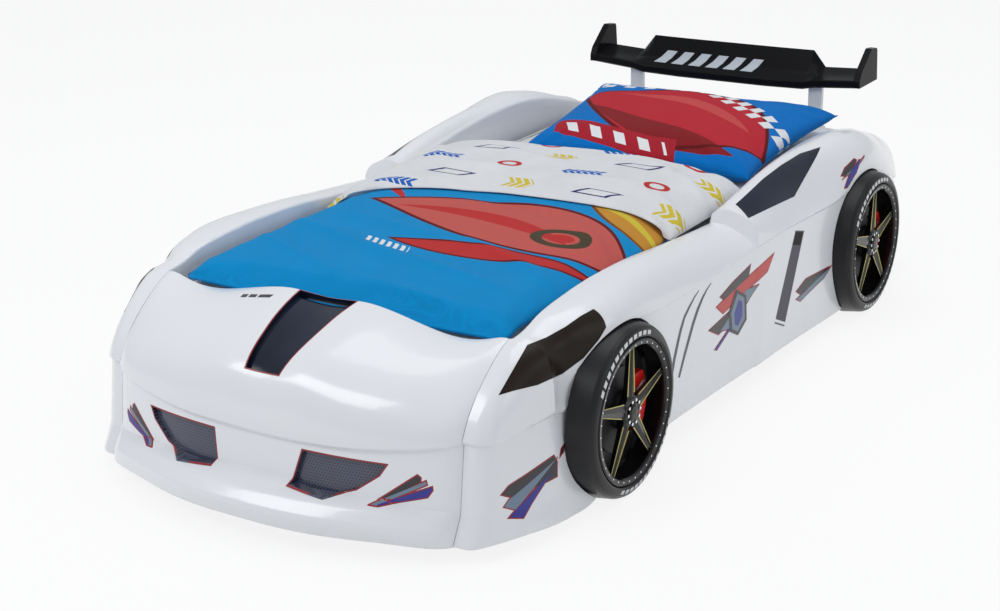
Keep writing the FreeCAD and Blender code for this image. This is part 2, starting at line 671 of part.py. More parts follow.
def wing():
    """The blade: a raised middle between two kinks, flat ends, and upright end plates."""
    half = size("wing_half_span")
    kink = size("wing_kink")
    low = size("wing_lip_height")
    rise = size("wing_rise")
    outer_rise = size("wing_outer_rise")
    skin = size("wing_skin")
    slices = [(-half + 12, low + 22, outer_rise), (-kink - 38, low + 11, outer_rise + 4),
              (-kink, low + 3, rise + 20), (-kink * 0.55, low, rise + 22),
              (kink * 0.55, low, rise + 22),
              (kink, low + 3, rise + 20), (kink + 38, low + 11, outer_rise + 4),
              (half - 12, low + 22, outer_rise)]
    blade = Part.makeLoft([wing_section(x, z, up, skin) for x, z, up in slices], True, True)
    front = size("wing_front") - 3
    rear = front + size("wing_chord") + size("plate_tail")
    top = size("plate_top")
    side = [(front, low + 24), (rear, low + 24), (rear - 8, top - 12), (rear - 14, top - 4),
            (rear - 52, top), (rear - 62, top - 6), (front + 12, low + 66), (front, low + 44)]
    base = Part.makePolygon([Vector(half, y, z) for y, z in side + side[:1]])
    inner = Part.makePolygon([Vector(half - size("plate_thick"), y + 1, z)
                              for y, z in side + side[:1]])
    plate = Part.makeLoft([base, inner], True, True)
    return blade.fuse([plate, mirrored(plate)])


def strut(blade):
    """A flat post from the tail panel up to the underside of the blade."""
    x = size("strut_x")
    wide = size("strut_width")
    thick = size("strut_thick")
    y = size("wing_front") + 0.36 * size("wing_chord")
    foot = block((x - wide / 2 - 6, x + wide / 2 + 6), (y - 18, y + 18), (320, 520))
    foot = foot.common(tail_form(-strut_foot)).cut(tail_form())
    post = block((x - wide / 2, x + wide / 2), (y - thick / 2, y + thick / 2),
                 (340, size("wing_lip_height") + 60))
    pieces = post.cut([tail_form(), blade]).Solids
    return min(pieces, key=lambda solid: solid.CenterOfMass.z).fuse(foot)


strut_foot = 5         # thickness of the foot that lies on the tail panel
spoiler = wing()
feature("spoiler_wing", spoiler)
feature_pair("spoiler_strut", strut(spoiler))

# ---------------------------------------------------------------- the timber frame
def board(label, low, high):
    """A Part::Box between two corners, each value an expression on the size sheet."""
    piece = doc.addObject("Part::Box", label)
    piece.Label = label
    for axis, side, a, b in zip("xyz", ("Length", "Width", "Height"), low, high):
        piece.setExpression("Placement.Base." + axis, a)
        piece.setExpression(side, "(%s) - (%s)" % (b, a))
    return piece


def named(expression):
    """Writes the sheet's name before each alias in an expression."""
    words = sorted(SIZES, key=len, reverse=True)
    out = ""
    i = 0
    while i < len(expression):
        match = next((w for w in words if expression.startswith(w, i)), None)
        out += "Sizes." + match if match else expression[i]
        i += len(match) if match else 1
    return out


bay_side = "(mattress_width / 2 + side_gap)"
bay_head = "(mattress_y - mattress_length / 2 - end_gap)"
bay_foot = "(mattress_y + mattress_length / 2 + end_gap)"
rail_low = "(slat_top - rail_height)"
slat_low = "(slat_top - slat_thick)"
inside = "(%s - rail_thick)" % bay_side
head_in = "(%s + rail_thick)" % bay_head
foot_in = "(%s - rail_thick)" % bay_foot
boards = {
    "side_rail_left": ((inside, bay_head, rail_low), (bay_side, bay_foot, "slat_top")),
    "side_rail_right": (("-" + bay_side, bay_head, rail_low),
                        ("-" + inside, bay_foot, "slat_top")),
    "foot_end_rail": (("-" + inside, bay_head, rail_low), (inside, head_in, "slat_top")),
    "head_end_rail": (("-" + inside, foot_in, rail_low), (inside, bay_foot, "slat_top")),
    "slat_ledge_left": ((inside + " - ledge_width", head_in, slat_low + " - ledge_height"),
                        (inside, foot_in, slat_low)),
    "slat_ledge_right": (("-" + inside, head_in, slat_low + " - ledge_height"),
                         ("ledge_width - " + inside, foot_in, slat_low)),
    "centre_beam": (("-beam_width / 2", head_in, slat_low + " - beam_height"),
                    ("beam_width / 2", foot_in, slat_low)),
}
for label, (low, high) in boards.items():
    nodes[label] = board(label, [named(text) for text in low], [named(text) for text in high])
corner_slack = 1       # how much further a side rail is cut back than the shell's round corner


def eased_corner(side, y, way):
    """A prism that takes off a side rail's sharp corner, where the shell's bay is rounded."""
    over = size("corner_round")
    ease = over + corner_slack
    x = side * (rail_inner + size("rail_thick"))
    plan = [Vector(x + side * over, y - way * over, 0),
            Vector(x - side * (ease + over), y - way * over, 0),
            Vector(x + side * over, y + way * (ease + over), 0)]
    return Part.Face(Part.makePolygon(plan + plan[:1])).extrude(
        Vector(0, 0, size("slat_top") + over))


eased = {label: [eased_corner(side, bay_front, 1), eased_corner(side, bay_rear, -1)]
         for label, side in (("side_rail_left", 1), ("side_rail_right", -1))}
for label, picked in (("side_rail_left", lambda head, way: way[0] > 0),
                      ("side_rail_right", lambda head, way: way[0] < 0),
                      ("foot_end_rail", lambda head, way: way[1] < 0),
                      ("head_end_rail", lambda head, way: way[1] > 0)):
    blank = nodes[label]
    blank.Label = label + "_blank"
    drills = Part.makeCompound([bolt_hole(*one) for one in rail_bolts if picked(*one[:2])]
                               + eased.get(label, []))
    drill = doc.addObject("Part::Feature", label + "_cuts")
    drill.Shape = drills
    rail = doc.addObject("Part::Cut", label)
    rail.Base = blank
    rail.Tool = drill
    rail.Label = label
    nodes[label] = rail


def group(label, pieces):
    """Several like solids under one name."""
    whole = doc.addObject("Part::Compound", label)
    whole.Label = label
    whole.Links = pieces
    nodes[label] = whole


slats = []
for k in range(int(size("slat_count"))):
    share = (k + 0.5) / size("slat_count")
    middle = "(%s + (%s - %s) * %.6f)" % (head_in, foot_in, head_in, share)
    slats.append(board("slat_%02d" % (k + 1),
                       [named("-%s" % inside), named(middle + " - slat_width / 2"),
                        named(slat_low)],
                       [named(inside), named(middle + " + slat_width / 2"),
                        named("slat_top")]))
group("slats", slats)

posts = []
pads = []
ledge_low = slat_low + " - ledge_height"
post_places = [(side, share) for side in (-1, 1) for share in (0.1, 0.5, 0.9)]
for number, (side, share) in enumerate(post_places + [(0, 0.33), (0, 0.67)], start=1):
    across_at = ("%d * (%s - leg_size / 2)" % (side, inside)) if side else "0"
    along_at = "(%s + (%s - %s) * %.2f)" % (head_in, foot_in, head_in, share)
    top = ledge_low if side else slat_low + " - beam_height"
    posts.append(board("leg_%d" % number,
                       [named(across_at + " - leg_size / 2"), named(along_at + " - leg_size / 2"),
                        named("pad_height")],
                       [named(across_at + " + leg_size / 2"), named(along_at + " + leg_size / 2"),
                        named(top)]))
    pad = doc.addObject("Part::Cylinder", "pad_%d" % number)
    pad.setExpression("Radius", named("pad_radius"))
    pad.setExpression("Height", named("pad_height"))
    pad.setExpression("Placement.Base.x", named(across_at))
    pad.setExpression("Placement.Base.y", named(along_at))
    pads.append(pad)
group("legs", posts)
group("foot_pads", pads)

brackets = []
for side in (-1, 1):
    for way, y in ((1, bay_front + size("rail_thick")), (-1, bay_rear - size("rail_thick"))):
        reach = size("bracket_reach")
        thick = size("bracket_thick")
        height = (rail_mid - size("bracket_height") / 2, rail_mid + size("bracket_height") / 2)
        x = side * rail_inner
        leg_one = block(sorted((x, x - side * thick)), sorted((y, y + way * reach)), height)
        leg_two = block(sorted((x, x - side * reach)), sorted((y, y + way * thick)), height)
        brackets.append(leg_one.fuse(leg_two))
feature("corner_brackets", Part.makeCompound(brackets))

# ---------------------------------------------------------------- the bedding
mattress_low = "slat_top"
core = doc.addObject("Part::Box", "mattress_core")
core.setExpression("Length", named("mattress_width"))
core.setExpression("Width", named("mattress_length"))
core.setExpression("Height", named("mattress_thick"))
core.setExpression("Placement.Base.x", named("-mattress_width / 2"))
core.setExpression("Placement.Base.y", named("mattress_y - mattress_length / 2"))
core.setExpression("Placement.Base.z", named(mattress_low))
doc.recompute()
mattress = doc.addObject("Part::Fillet", "mattress")
mattress.Label = "mattress"
mattress.Base = core
mattress.Edges = [(i, size("mattress_round"), size("mattress_round")) for i in range(1, 13)]
nodes["mattress"] = mattress

bed_top = size("slat_top") + size("mattress_thick") + size("soft_gap")
DUVET = [  # how far behind the foot end, half width, edge height, crown height over the mattress
    (20, 432, 8, 12), (60, 446, 22, 38), (120, 448, 28, 50), (280, 448, 30, 60),
    (560, 448, 32, 66), (745, 448, 32, 68), (1190, 440, 30, 60),
]
FOLD = [  # the part that is turned down over it, nearer the pillow
    (752, 440, 44, 72), (792, 447, 56, 92), (900, 449, 58, 98), (1040, 449, 58, 102),
    (1130, 447, 54, 96), (1170, 443, 42, 78), (1206, 436, 16, 30),
]
quilt_spacing = 40     # how close the slab's sections stand, which keeps its skin near the rows


def closer(rows):
    """The rows, and more of them on the straight way between."""
    filled = []
    for one, two in zip(rows, rows[1:]):
        steps = max(1, round((two[0] - one[0]) / quilt_spacing))
        filled += [tuple(a + (b - a) * k / steps for a, b in zip(one, two))
                   for k in range(steps)]
    return filled + [rows[-1]]


def quilt(rows):
    """A soft slab: flat below, round at the sides and crowned above."""
    wires = []
    for behind, half, edge, crown in closer(rows):
        y = bay_front + behind
        low = Vector(-half, y, bed_top)
        side = [Vector(-half - 6, y, bed_top + edge * 0.55), Vector(-half + 10, y, bed_top + edge)]
        top = [side[1], Vector(-half * 0.5, y, bed_top + crown * 0.97),
               Vector(half * 0.02, y, bed_top + crown),
               Vector(half * 0.5, y, bed_top + crown * 0.98), Vector(half - 10, y, bed_top + edge)]
        over = Part.BSplineCurve()
        over.interpolate(top)
        far_low = Vector(half, y, bed_top)
        wires.append(Part.Wire([
            Part.Arc(low, side[0], side[1]).toShape(), over.toShape(),
            Part.Arc(top[-1], Vector(half + 6, y, bed_top + edge * 0.55), far_low).toShape(),
            Part.LineSegment(far_low, low).toShape()]))
    return Part.makeLoft(wires, True, False)


feature("duvet", quilt(DUVET).fuse(quilt(FOLD)))


mattress_end = size("mattress_y") + size("mattress_length") / 2
pillow_shift = 15      # how far it lies off the middle
pillow_back = 28       # and in front of the mattress's end


def pillow():
    """A pillow with a crown, thin edges and sides drawn in between its four corners."""
    wide = size("pillow_width") / 2
    deep = size("pillow_depth") / 2
    thick = size("pillow_thick") / 2
    wires = []
    for share in (-1, -0.93, -0.78, -0.45, 0, 0.45, 0.78, 0.93, 1):
        x = wide * share
        reach = deep * (0.93 + 0.07 * share ** 2) if abs(share) < 0.99 else deep * 0.985
        swell = thick * max(0.10, (1 - abs(share) ** 2.6) ** 0.5)
        back = Vector(x, reach, 0)
        front = Vector(x, -reach, 0)
        wires.append(Part.Wire([Part.Arc(front, Vector(x, 0, swell), back).toShape(),
                                Part.Arc(back, Vector(x, 0, -swell * 0.75), front).toShape()]))
    flat = Part.makeLoft(wires, True, False)
    tilt = FreeCAD.Rotation(Vector(1, 0, 0), size("pillow_tilt"))
    turned_up = flat.transformed(FreeCAD.Placement(Vector(), tilt).toMatrix(), True)
    bounds = turned_up.optimalBoundingBox(False)
    place = Vector(pillow_shift, mattress_end - pillow_back - bounds.YMax, bed_top - bounds.ZMin)
    return turned_up.transformed(FreeCAD.Placement(place, FreeCAD.Rotation()).toMatrix(), True)


feature("pillow", pillow())

# ---------------------------------------------------------------- write the parts
doc.recompute()
for piece in doc.Objects:
    if "Invalid" in piece.State or "Error" in piece.State:
        raise SystemExit("%s failed: %s" % (piece.Label, piece.State))
os.makedirs("parts", exist_ok=True)
for label, piece in nodes.items():
    if piece.Shape.isNull() or not piece.Shape.isValid():
        raise SystemExit("%s has no valid shape" % label)
    piece.Shape.exportStep("parts/%s.step" % label)
    print(label, len(piece.Shape.Solids), round(piece.Shape.Volume / 1000, 1), "cm3")
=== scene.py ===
# %% [markdown]
# # A child's racing-car bed
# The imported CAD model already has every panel, wheel, slat and cushion in its true place. This
# lesson dresses it: gloss plastic for the body, printed cotton for the bedding, pine for the
# hidden frame, and the small printed stickers that make a plain white shell look like a car.

# %% Load the frame
import json
import math
import bmesh
import bpy
import numpy as np
from mathutils import Matrix, Vector
from mathutils.bvhtree import BVHTree

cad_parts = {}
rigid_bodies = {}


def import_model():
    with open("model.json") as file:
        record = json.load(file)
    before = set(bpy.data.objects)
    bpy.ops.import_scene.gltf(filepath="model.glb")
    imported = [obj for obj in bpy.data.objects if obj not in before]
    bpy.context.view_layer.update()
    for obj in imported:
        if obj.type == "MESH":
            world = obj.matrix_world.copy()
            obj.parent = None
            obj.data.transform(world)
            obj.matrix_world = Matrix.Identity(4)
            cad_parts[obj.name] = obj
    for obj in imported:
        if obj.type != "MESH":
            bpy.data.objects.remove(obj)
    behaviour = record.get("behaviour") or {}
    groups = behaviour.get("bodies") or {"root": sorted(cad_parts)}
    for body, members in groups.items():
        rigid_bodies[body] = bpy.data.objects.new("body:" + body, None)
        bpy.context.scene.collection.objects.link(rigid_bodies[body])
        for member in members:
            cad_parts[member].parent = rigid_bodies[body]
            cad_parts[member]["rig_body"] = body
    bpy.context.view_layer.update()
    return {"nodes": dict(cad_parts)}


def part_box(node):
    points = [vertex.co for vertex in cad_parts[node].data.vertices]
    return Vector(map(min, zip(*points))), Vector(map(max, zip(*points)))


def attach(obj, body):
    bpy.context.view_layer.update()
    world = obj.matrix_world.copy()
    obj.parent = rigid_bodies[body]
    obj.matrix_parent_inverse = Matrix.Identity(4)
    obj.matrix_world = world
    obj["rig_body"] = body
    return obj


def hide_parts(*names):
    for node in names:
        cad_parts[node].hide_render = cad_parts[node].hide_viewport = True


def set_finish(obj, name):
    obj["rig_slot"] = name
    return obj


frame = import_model()
nodes = frame["nodes"]
scene = bpy.context.scene

# %% [markdown]
# The camera comes first, because everything is seen through it. It stands in front of the
# car's left headlamp, a little above a grown-up's eye, and looks down at the bed.

# %% Set up the camera
turn, tip, lean = (math.radians(a) for a in (32.2518, 19.8422, -1.3409))
back = Vector((math.sin(turn) * math.cos(tip), -math.cos(turn) * math.cos(tip), math.sin(tip)))
level = Vector((math.cos(turn), math.sin(turn), 0))
upright = back.cross(level)
right = level * math.cos(lean) + upright * math.sin(lean)
top = upright * math.cos(lean) - level * math.sin(lean)
bpy.ops.object.camera_add()
camera = bpy.context.object
camera.matrix_world = (Matrix.Translation((2.28241, -3.79472, 1.72478)) @
                       Matrix((right, top, back)).transposed().to_4x4())
camera.data.sensor_width = 36
camera.data.lens = 64.658
scene.camera = camera
scene.view_settings.view_transform = "Standard"

# %% [markdown]
# The room is a white sweep. Its white comes from Light Path, which lets the camera see a bright
# floor without throwing more light on the car, so the pale panels keep their shading. Shader
# nodes are wired as formulas: a Wire can be added, multiplied and compared.


# %% Wire nodes by hand
class Wire:
    """An output socket that sums can be made with; each sign adds its Math node."""

    def __init__(self, wires, socket):
        self.wires, self.socket = wires, socket

    def __add__(self, other):
        return self.wires.math("ADD", self, other)

    def __sub__(self, other):
        return self.wires.math("SUBTRACT", self, other)

    def __rsub__(self, other):
        return self.wires.math("SUBTRACT", other, self)

    def __mul__(self, other):
        return self.wires.math("MULTIPLY", self, other)

    def __truediv__(self, other):
        return self.wires.math("DIVIDE", self, other)

    def __mod__(self, other):
        return self.wires.math("MODULO", self, other)

    def __lt__(self, other):
        return self.wires.math("LESS_THAN", self, other)

    def __gt__(self, other):
        return self.wires.math("GREATER_THAN", self, other)

    def __abs__(self):
        return self.wires.math("ABSOLUTE", self)

    def __floor__(self):
        return self.wires.math("FLOOR", self)


class Outputs:
    """A node's outputs, each given as a Wire."""

    def __init__(self, wires, node):
        self.wires, self.node = wires, node

    def __getitem__(self, key):
        return Wire(self.wires, self.node.outputs[key])


class Wiring:
    """Adds nodes to a tree and joins them; a value may be a number, a tuple or an output."""

    def __init__(self, tree):
        self.tree = tree

    def join(self, socket, value):
        source = value.socket if isinstance(value, Wire) else value
        if isinstance(source, bpy.types.NodeSocket):
            self.tree.links.new(source, socket)
        else:
            socket.default_value = source

    def node(self, kind, values=(), **settings):
        new = self.tree.nodes.new(kind)
        for key, value in settings.items():
            setattr(new, key, value)
        for key, value in dict(values).items():
            self.join(new.inputs[key], value)
        return Outputs(self, new)

    def math(self, operation, *values):
        return self.node("ShaderNodeMath", enumerate(values), operation=operation)[0]

    def mix(self, share, a, b):
        return self.node("ShaderNodeMix", {0: share, 6: a, 7: b}, data_type="RGBA")[2]

    def place(self):
        return self.node("ShaderNodeTexCoord")["Object"]

    def axes(self, place=None):
        parts = self.node("ShaderNodeSeparateXYZ", {0: place or self.place()})
        return parts[0], parts[1], parts[2]

    def noise(self, scale, detail, place=None, **more):
        values = {"Vector": place or self.place(), "Scale": scale, "Detail": detail, **more}
        return self.node("ShaderNodeTexNoise", values)["Fac"]


# %% Build the white room
world = bpy.data.worlds.new("studio")
scene.world = world
world.use_nodes = True
wires = Wiring(world.node_tree)
ambient = world.node_tree.nodes["Background"]
ambient.inputs["Color"].default_value = (0.93, 0.96, 1.0, 1)
ambient.inputs["Strength"].default_value = 0.57
path = wires.node("ShaderNodeLightPath")
seen = wires.node("ShaderNodeBackground", {"Color": (1, 1, 1, 1), "Strength": 1.0})
chosen = wires.node("ShaderNodeMixShader", {0: path["Is Camera Ray"], 1: ambient.outputs[0],
                                            2: seen[0]})
wires.join(world.node_tree.nodes["World Output"].inputs[0], chosen[0])

bpy.ops.object.select_all(action="DESELECT")
bpy.ops.mesh.primitive_plane_add(size=30)
floor = bpy.context.object
floor.name = "studio_floor"
floor_finish = bpy.data.materials.new("studio_floor")
floor_finish.use_nodes = True
pale = floor_finish.node_tree.nodes["Principled BSDF"]
pale.inputs["Base Color"].default_value = (0.9, 0.9, 0.9, 1)
pale.inputs["Roughness"].default_value = 0.9
wires = Wiring(floor_finish.node_tree)
path = wires.node("ShaderNodeLightPath")
seen = wires.math("MAXIMUM", path["Is Camera Ray"], path["Is Glossy Ray"])
seen = wires.math("MAXIMUM", seen, path["Is Transmission Ray"])
glow = wires.node("ShaderNodeEmission", {"Color": (1, 1, 1, 1), "Strength": 1.0})
white_share = 0.86
lit = wires.node("ShaderNodeMixShader", {0: seen * white_share, 1: pale.outputs[0], 2: glow[0]})
wires.join(floor_finish.node_tree.nodes["Material Output"].inputs[0], lit[0])
floor.data.materials.append(floor_finish)


def softbox(name, spot, target, size, power):
    bpy.ops.object.light_add(type="AREA", location=spot)
    lamp = bpy.context.object
    lamp.name = name
    lamp.data.shape = "RECTANGLE"
    lamp.data.size, lamp.data.size_y = size
    lamp.data.energy = power
    lamp.rotation_euler = (Vector(target) - Vector(spot)).to_track_quat("-Z", "Y").to_euler()


softbox("key", (-1.6, -3.4, 3.6), (0, -0.2, 0.3), (2.6, 1.6), 54)
softbox("overhead", (0.2, 0.6, 4.2), (0, 0.1, 0.3), (3.4, 3.0), 50)
softbox("side_fill", (4.2, 0.4, 1.8), (0.4, 0.1, 0.3), (3.0, 1.2), 14)
print("room ready")

# %% [markdown]
# Effects that several finishes share are node groups. The first is the faint life of a moulded
# skin: a broad drift of tone, and a fine unevenness, like orange peel, that breaks reflections.

# %% Shared groups: moulded skin, and cloth weave with painted crease shade
VECTORS = ("Place", "Centre", "Stretch")


def group(name, inputs, outputs):
    """A node group: its tree, its wiring, its inputs as Wires and its output sockets."""
    tree = bpy.data.node_groups.new(name, "ShaderNodeTree")

    def socket(label, way):
        kind = "NodeSocketVector" if label in VECTORS else "NodeSocketFloat"
        return tree.interface.new_socket(label, in_out=way, socket_type=kind)

    for label, value in inputs.items():
        socket(label, "INPUT").default_value = value
    for label in outputs:
        socket(label, "OUTPUT")
    wires = Wiring(tree)
    return tree, wires, wires.node("NodeGroupInput"), tree.nodes.new("NodeGroupOutput").inputs


skin, wires, given, result = group("moulded_skin", {"Drift Scale": 2.0, "Peel Scale": 160.0},
                                   ("Tone", "Height"))
wires.join(result["Tone"], wires.noise(given["Drift Scale"], 3.0))
wires.join(result["Height"], wires.noise(given["Peel Scale"], 2.0))

weave_and_crease_shade, wires, given, result = group("cotton_weave_with_painted_shade", {"Threads": 2400.0, "Crease Scale": 9.0},
                                    ("Height", "Shade"))
x, y, z = wires.axes()
warp = wires.math("SINE", (x + z) * given["Threads"])
weft = wires.math("SINE", (y - z) * given["Threads"])
crease_bump_and_shade = wires.noise(given["Crease Scale"], 6.0, Roughness=0.6)
wires.join(result["Height"], warp * weft * 0.12 + crease_bump_and_shade)
# Painted shade: the cloth's colour follows the crease noise, darker in its hollows and lighter on
# its crests.
wires.join(result["Shade"], crease_bump_and_shade)


# %% A finish that mixes a colour, a tone drift and a fine height
def finish(name, colour, rough, deep=None, effect=skin, values=(), bump=0.0, distance=0.001,
           **sockets):
    """A Principled material. effect is the shared group that drives its tone and bump."""
    new = bpy.data.materials.new(name)
    new.use_nodes = True
    wires = Wiring(new.node_tree)
    inputs = new.node_tree.nodes["Principled BSDF"].inputs
    rgba = tuple(colour) + (1,)
    inputs["Base Color"].default_value = rgba
    inputs["Roughness"].default_value = rough
    for key, value in sockets.items():
        inputs[key.replace("_", " ")].default_value = value
    if effect:
        shared = wires.node("ShaderNodeGroup", node_tree=effect)
        for key, value in dict(values).items():
            shared.node.inputs[key].default_value = value
        dark = tuple(deep or [c * 0.93 for c in colour]) + (1,)
        spread = wires.node("ShaderNodeMapRange", {"Value": shared["Tone"], 1: 0.3, 2: 0.7})[0]
        wires.join(inputs["Base Color"], wires.mix(spread, dark, rgba))
        if bump:
            raised = wires.node("ShaderNodeBump", {"Strength": bump, "Distance": distance,
                                                   "Height": shared["Height"]})
            wires.join(inputs["Normal"], raised[0])
    return new


body_white = finish("gloss_white_body", (0.80, 0.815, 0.84), 0.24, deep=(0.785, 0.80, 0.83),
                    bump=0.06, distance=0.0004, Coat_Weight=0.5, Coat_Roughness=0.08)
tyre_black = finish("satin_tyre", (0.014, 0.014, 0.016), 0.34, deep=(0.009, 0.009, 0.010),
                    bump=0.12, distance=0.0006, Specular_IOR_Level=0.28)
rim_black = finish("gloss_black_rim", (0.006, 0.006, 0.007), 0.14, bump=0.04, distance=0.0004,
                   Specular_IOR_Level=0.30)
disc_grey = finish("cast_disc", (0.02, 0.02, 0.022), 0.45, bump=0.2, Specular_IOR_Level=0.25)
caliper_red = finish("red_caliper", (0.62, 0.012, 0.012), 0.25, bump=0.1, Coat_Weight=0.5)
silver = finish("plated_silver", (0.78, 0.79, 0.81), 0.18, bump=0.05, Metallic=1.0)
gold_edge = finish("pale_gold_edge", (0.62, 0.55, 0.20), 0.28, bump=0.05, Metallic=0.7)
zinc = finish("zinc_plate", (0.5, 0.5, 0.53), 0.35, bump=0.1, Metallic=1.0)
wing_black = finish("gloss_black_wing", (0.008, 0.008, 0.009), 0.20, bump=0.05,
                    distance=0.0004, Specular_IOR_Level=0.05)
lamp_smoke = finish("smoked_lamp", (0.020, 0.012, 0.008), 0.35, deep=(0.013, 0.009, 0.006),
                    bump=0.04, Specular_IOR_Level=0.18)
glass_navy = finish("navy_glass", (0.009, 0.017, 0.040), 0.16, deep=(0.005, 0.009, 0.022),
                    values={"Drift Scale": 5.0}, bump=0.03, Specular_IOR_Level=0.30)
vent_dark = finish("dark_vent", (0.040, 0.036, 0.062), 0.3, bump=0.05, Specular_IOR_Level=0.30)
lens_red = finish("red_lens", (0.36, 0.006, 0.008), 0.1, bump=0.03, Coat_Weight=1.0)
pad_rubber = finish("foot_rubber", (0.03, 0.03, 0.03), 0.8, bump=0.3)
print("plain finishes ready")

# %% [markdown]
# The hidden frame is planed pine. Long growth rings come from stretched noise, cut into lines
# by taking only the fraction, and each board has its own stretch, so that they run along it.

# %% Pine
pine, wires, given, result = group("pine_grain", {"Stretch": (14.0, 1.0, 14.0)},
                                   ("Tone", "Height"))
stretched = wires.node("ShaderNodeVectorMath", {0: wires.place(), 1: given["Stretch"]},
                       operation="MULTIPLY")[0]
rings = wires.noise(2.2, 5.0, stretched, Distortion=1.2)
wires.join(result["Tone"], wires.math("FRACT", rings * 9.0))
wires.join(result["Height"], rings)
pine_along, pine_across, pine_upright = (
    finish("pine_" + way, (0.66, 0.45, 0.24), 0.55, deep=(0.52, 0.32, 0.15), effect=pine,
           values={"Stretch": stretch}, bump=0.3)
    for way, stretch in (("along", (14, 1, 14)), ("across", (1, 14, 14)),
                         ("upright", (14, 14, 1))))

# %% [markdown]
# The two air intakes carry a printed hexagon mesh behind a thin red pinstripe. Crossed sets of
# lines give the mesh; it is fine enough that at a distance only a soft grey remains.

# %% Intake mesh
mesh_print = finish("intake_mesh", (0.010, 0.014, 0.035), 0.3, effect=None, Coat_Weight=0.5)
wires = Wiring(mesh_print.node_tree)
x, y, z = wires.axes()
lines_per_metre = 860
first, second, third = (
    wires.math("SINE", x * (lean_x * lines_per_metre) + z * (lean_z * lines_per_metre)) > 0.72
    for lean_x, lean_z in ((1.0, 0.6), (-1.0, 0.6), (0.0, 1.2)))
lattice = wires.math("MAXIMUM", wires.math("MAXIMUM", first, second), third)
wires.join(mesh_print.node_tree.nodes["Principled BSDF"].inputs["Base Color"],
           wires.mix(lattice, (0.008, 0.011, 0.03, 1), (0.075, 0.085, 0.14, 1)))

# %% Give the CAD nodes their finishes
FINISHES = {
    "tyre_": tyre_black, "rim_": rim_black, "brake_disc_": disc_grey, "caliper_": caliper_red,
    "hub_cap_": rim_black, "wheel_nuts": silver, "seam_bolts": zinc, "rail_bolts": zinc,
    "corner_brackets": zinc, "intake_grille_": mesh_print, "hood_insert": glass_navy,
    "side_window_": glass_navy, "headlamp_cover_": lamp_smoke, "side_vent_": vent_dark,
    "tail_diffuser": vent_dark, "tail_lamp_": lens_red, "spoiler_wing": wing_black,
    "side_rail_": pine_along, "slat_ledge_": pine_along, "centre_beam": pine_along,
    "foot_end_rail": pine_across, "head_end_rail": pine_across, "slats": pine_across,
    "legs": pine_upright, "foot_pads": pad_rubber,
}
for name, node in nodes.items():
    chosen = next((mat for start, mat in FINISHES.items() if name.startswith(start)), body_white)
    node.data.materials.clear()
    node.data.materials.append(chosen)
print("finishes on", len(nodes), "nodes")

# %% [markdown]
# A gloss panel shows every facet, so each shell gets a visible copy whose split edges are merged
# and shaded smooth up to its real creases. The copy stands for the CAD node.


# %% Smooth copies of the moulded pieces
def deselect():
    bpy.ops.object.select_all(action="DESELECT")


def pick(obj):
    deselect()
    obj.select_set(True)
    bpy.context.view_layer.objects.active = obj


class Editing:
    """Edit mode with everything selected, for the length of a with block."""

    def __enter__(self):
        bpy.ops.object.mode_set(mode="EDIT")
        bpy.ops.mesh.select_all(action="SELECT")

    def __exit__(self, *problem):
        bpy.ops.object.mode_set(mode="OBJECT")


def modify(obj, kind, **settings):
    """Adds a modifier, sets it and applies it."""
    pick(obj)
    bpy.ops.object.modifier_add(type=kind)
    for key, value in settings.items():
        setattr(obj.modifiers[-1], key, value)
    bpy.ops.object.modifier_apply(modifier=obj.modifiers[-1].name)


def added(name, data):
    """Puts new mesh or curve data in the scene."""
    made = bpy.data.objects.new(name, data)
    scene.collection.objects.link(made)
    pick(made)
    return made


def wear(obj, material, body, slot):
    obj.data.materials.clear()
    obj.data.materials.append(material)
    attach(obj, body)
    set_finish(obj, slot)
    return obj


def smooth_copy(name, slot, crease=12):
    source = nodes[name]
    copy = added(name + "_skin", source.data.copy())
    with Editing():
        bpy.ops.mesh.remove_doubles(threshold=0.00002)
    bpy.ops.mesh.customdata_custom_splitnormals_clear()
    bpy.ops.object.shade_smooth_by_angle(angle=math.radians(crease))
    wear(copy, source.data.materials[0], source["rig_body"], slot)
    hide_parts(name)
    return copy


SKINS = {"side_panel_left": "body_white", "side_panel_right": "body_white",
         "front_panel": "body_white", "rear_panel": "body_white",
         "spoiler_wing": "wing_black", "hood_insert": "insert_navy"}
skins = {name: smooth_copy(name, slot) for name, slot in SKINS.items()}
print("skins", {name: len(copy.data.polygons) for name, copy in skins.items()})

# %% [markdown]
# The bedding is the softest thing on the object. Each piece starts as a closed pad of two grids
# that share a rim, drawn to its resting shape. Cloth simulation then lets the filling press
# outwards for twenty frames, which rounds the rim and brings in real wrinkles. A cap on how far
# a point may go keeps the piece in its place.


# %% Pads, and the air that puffs them up
rims = {}


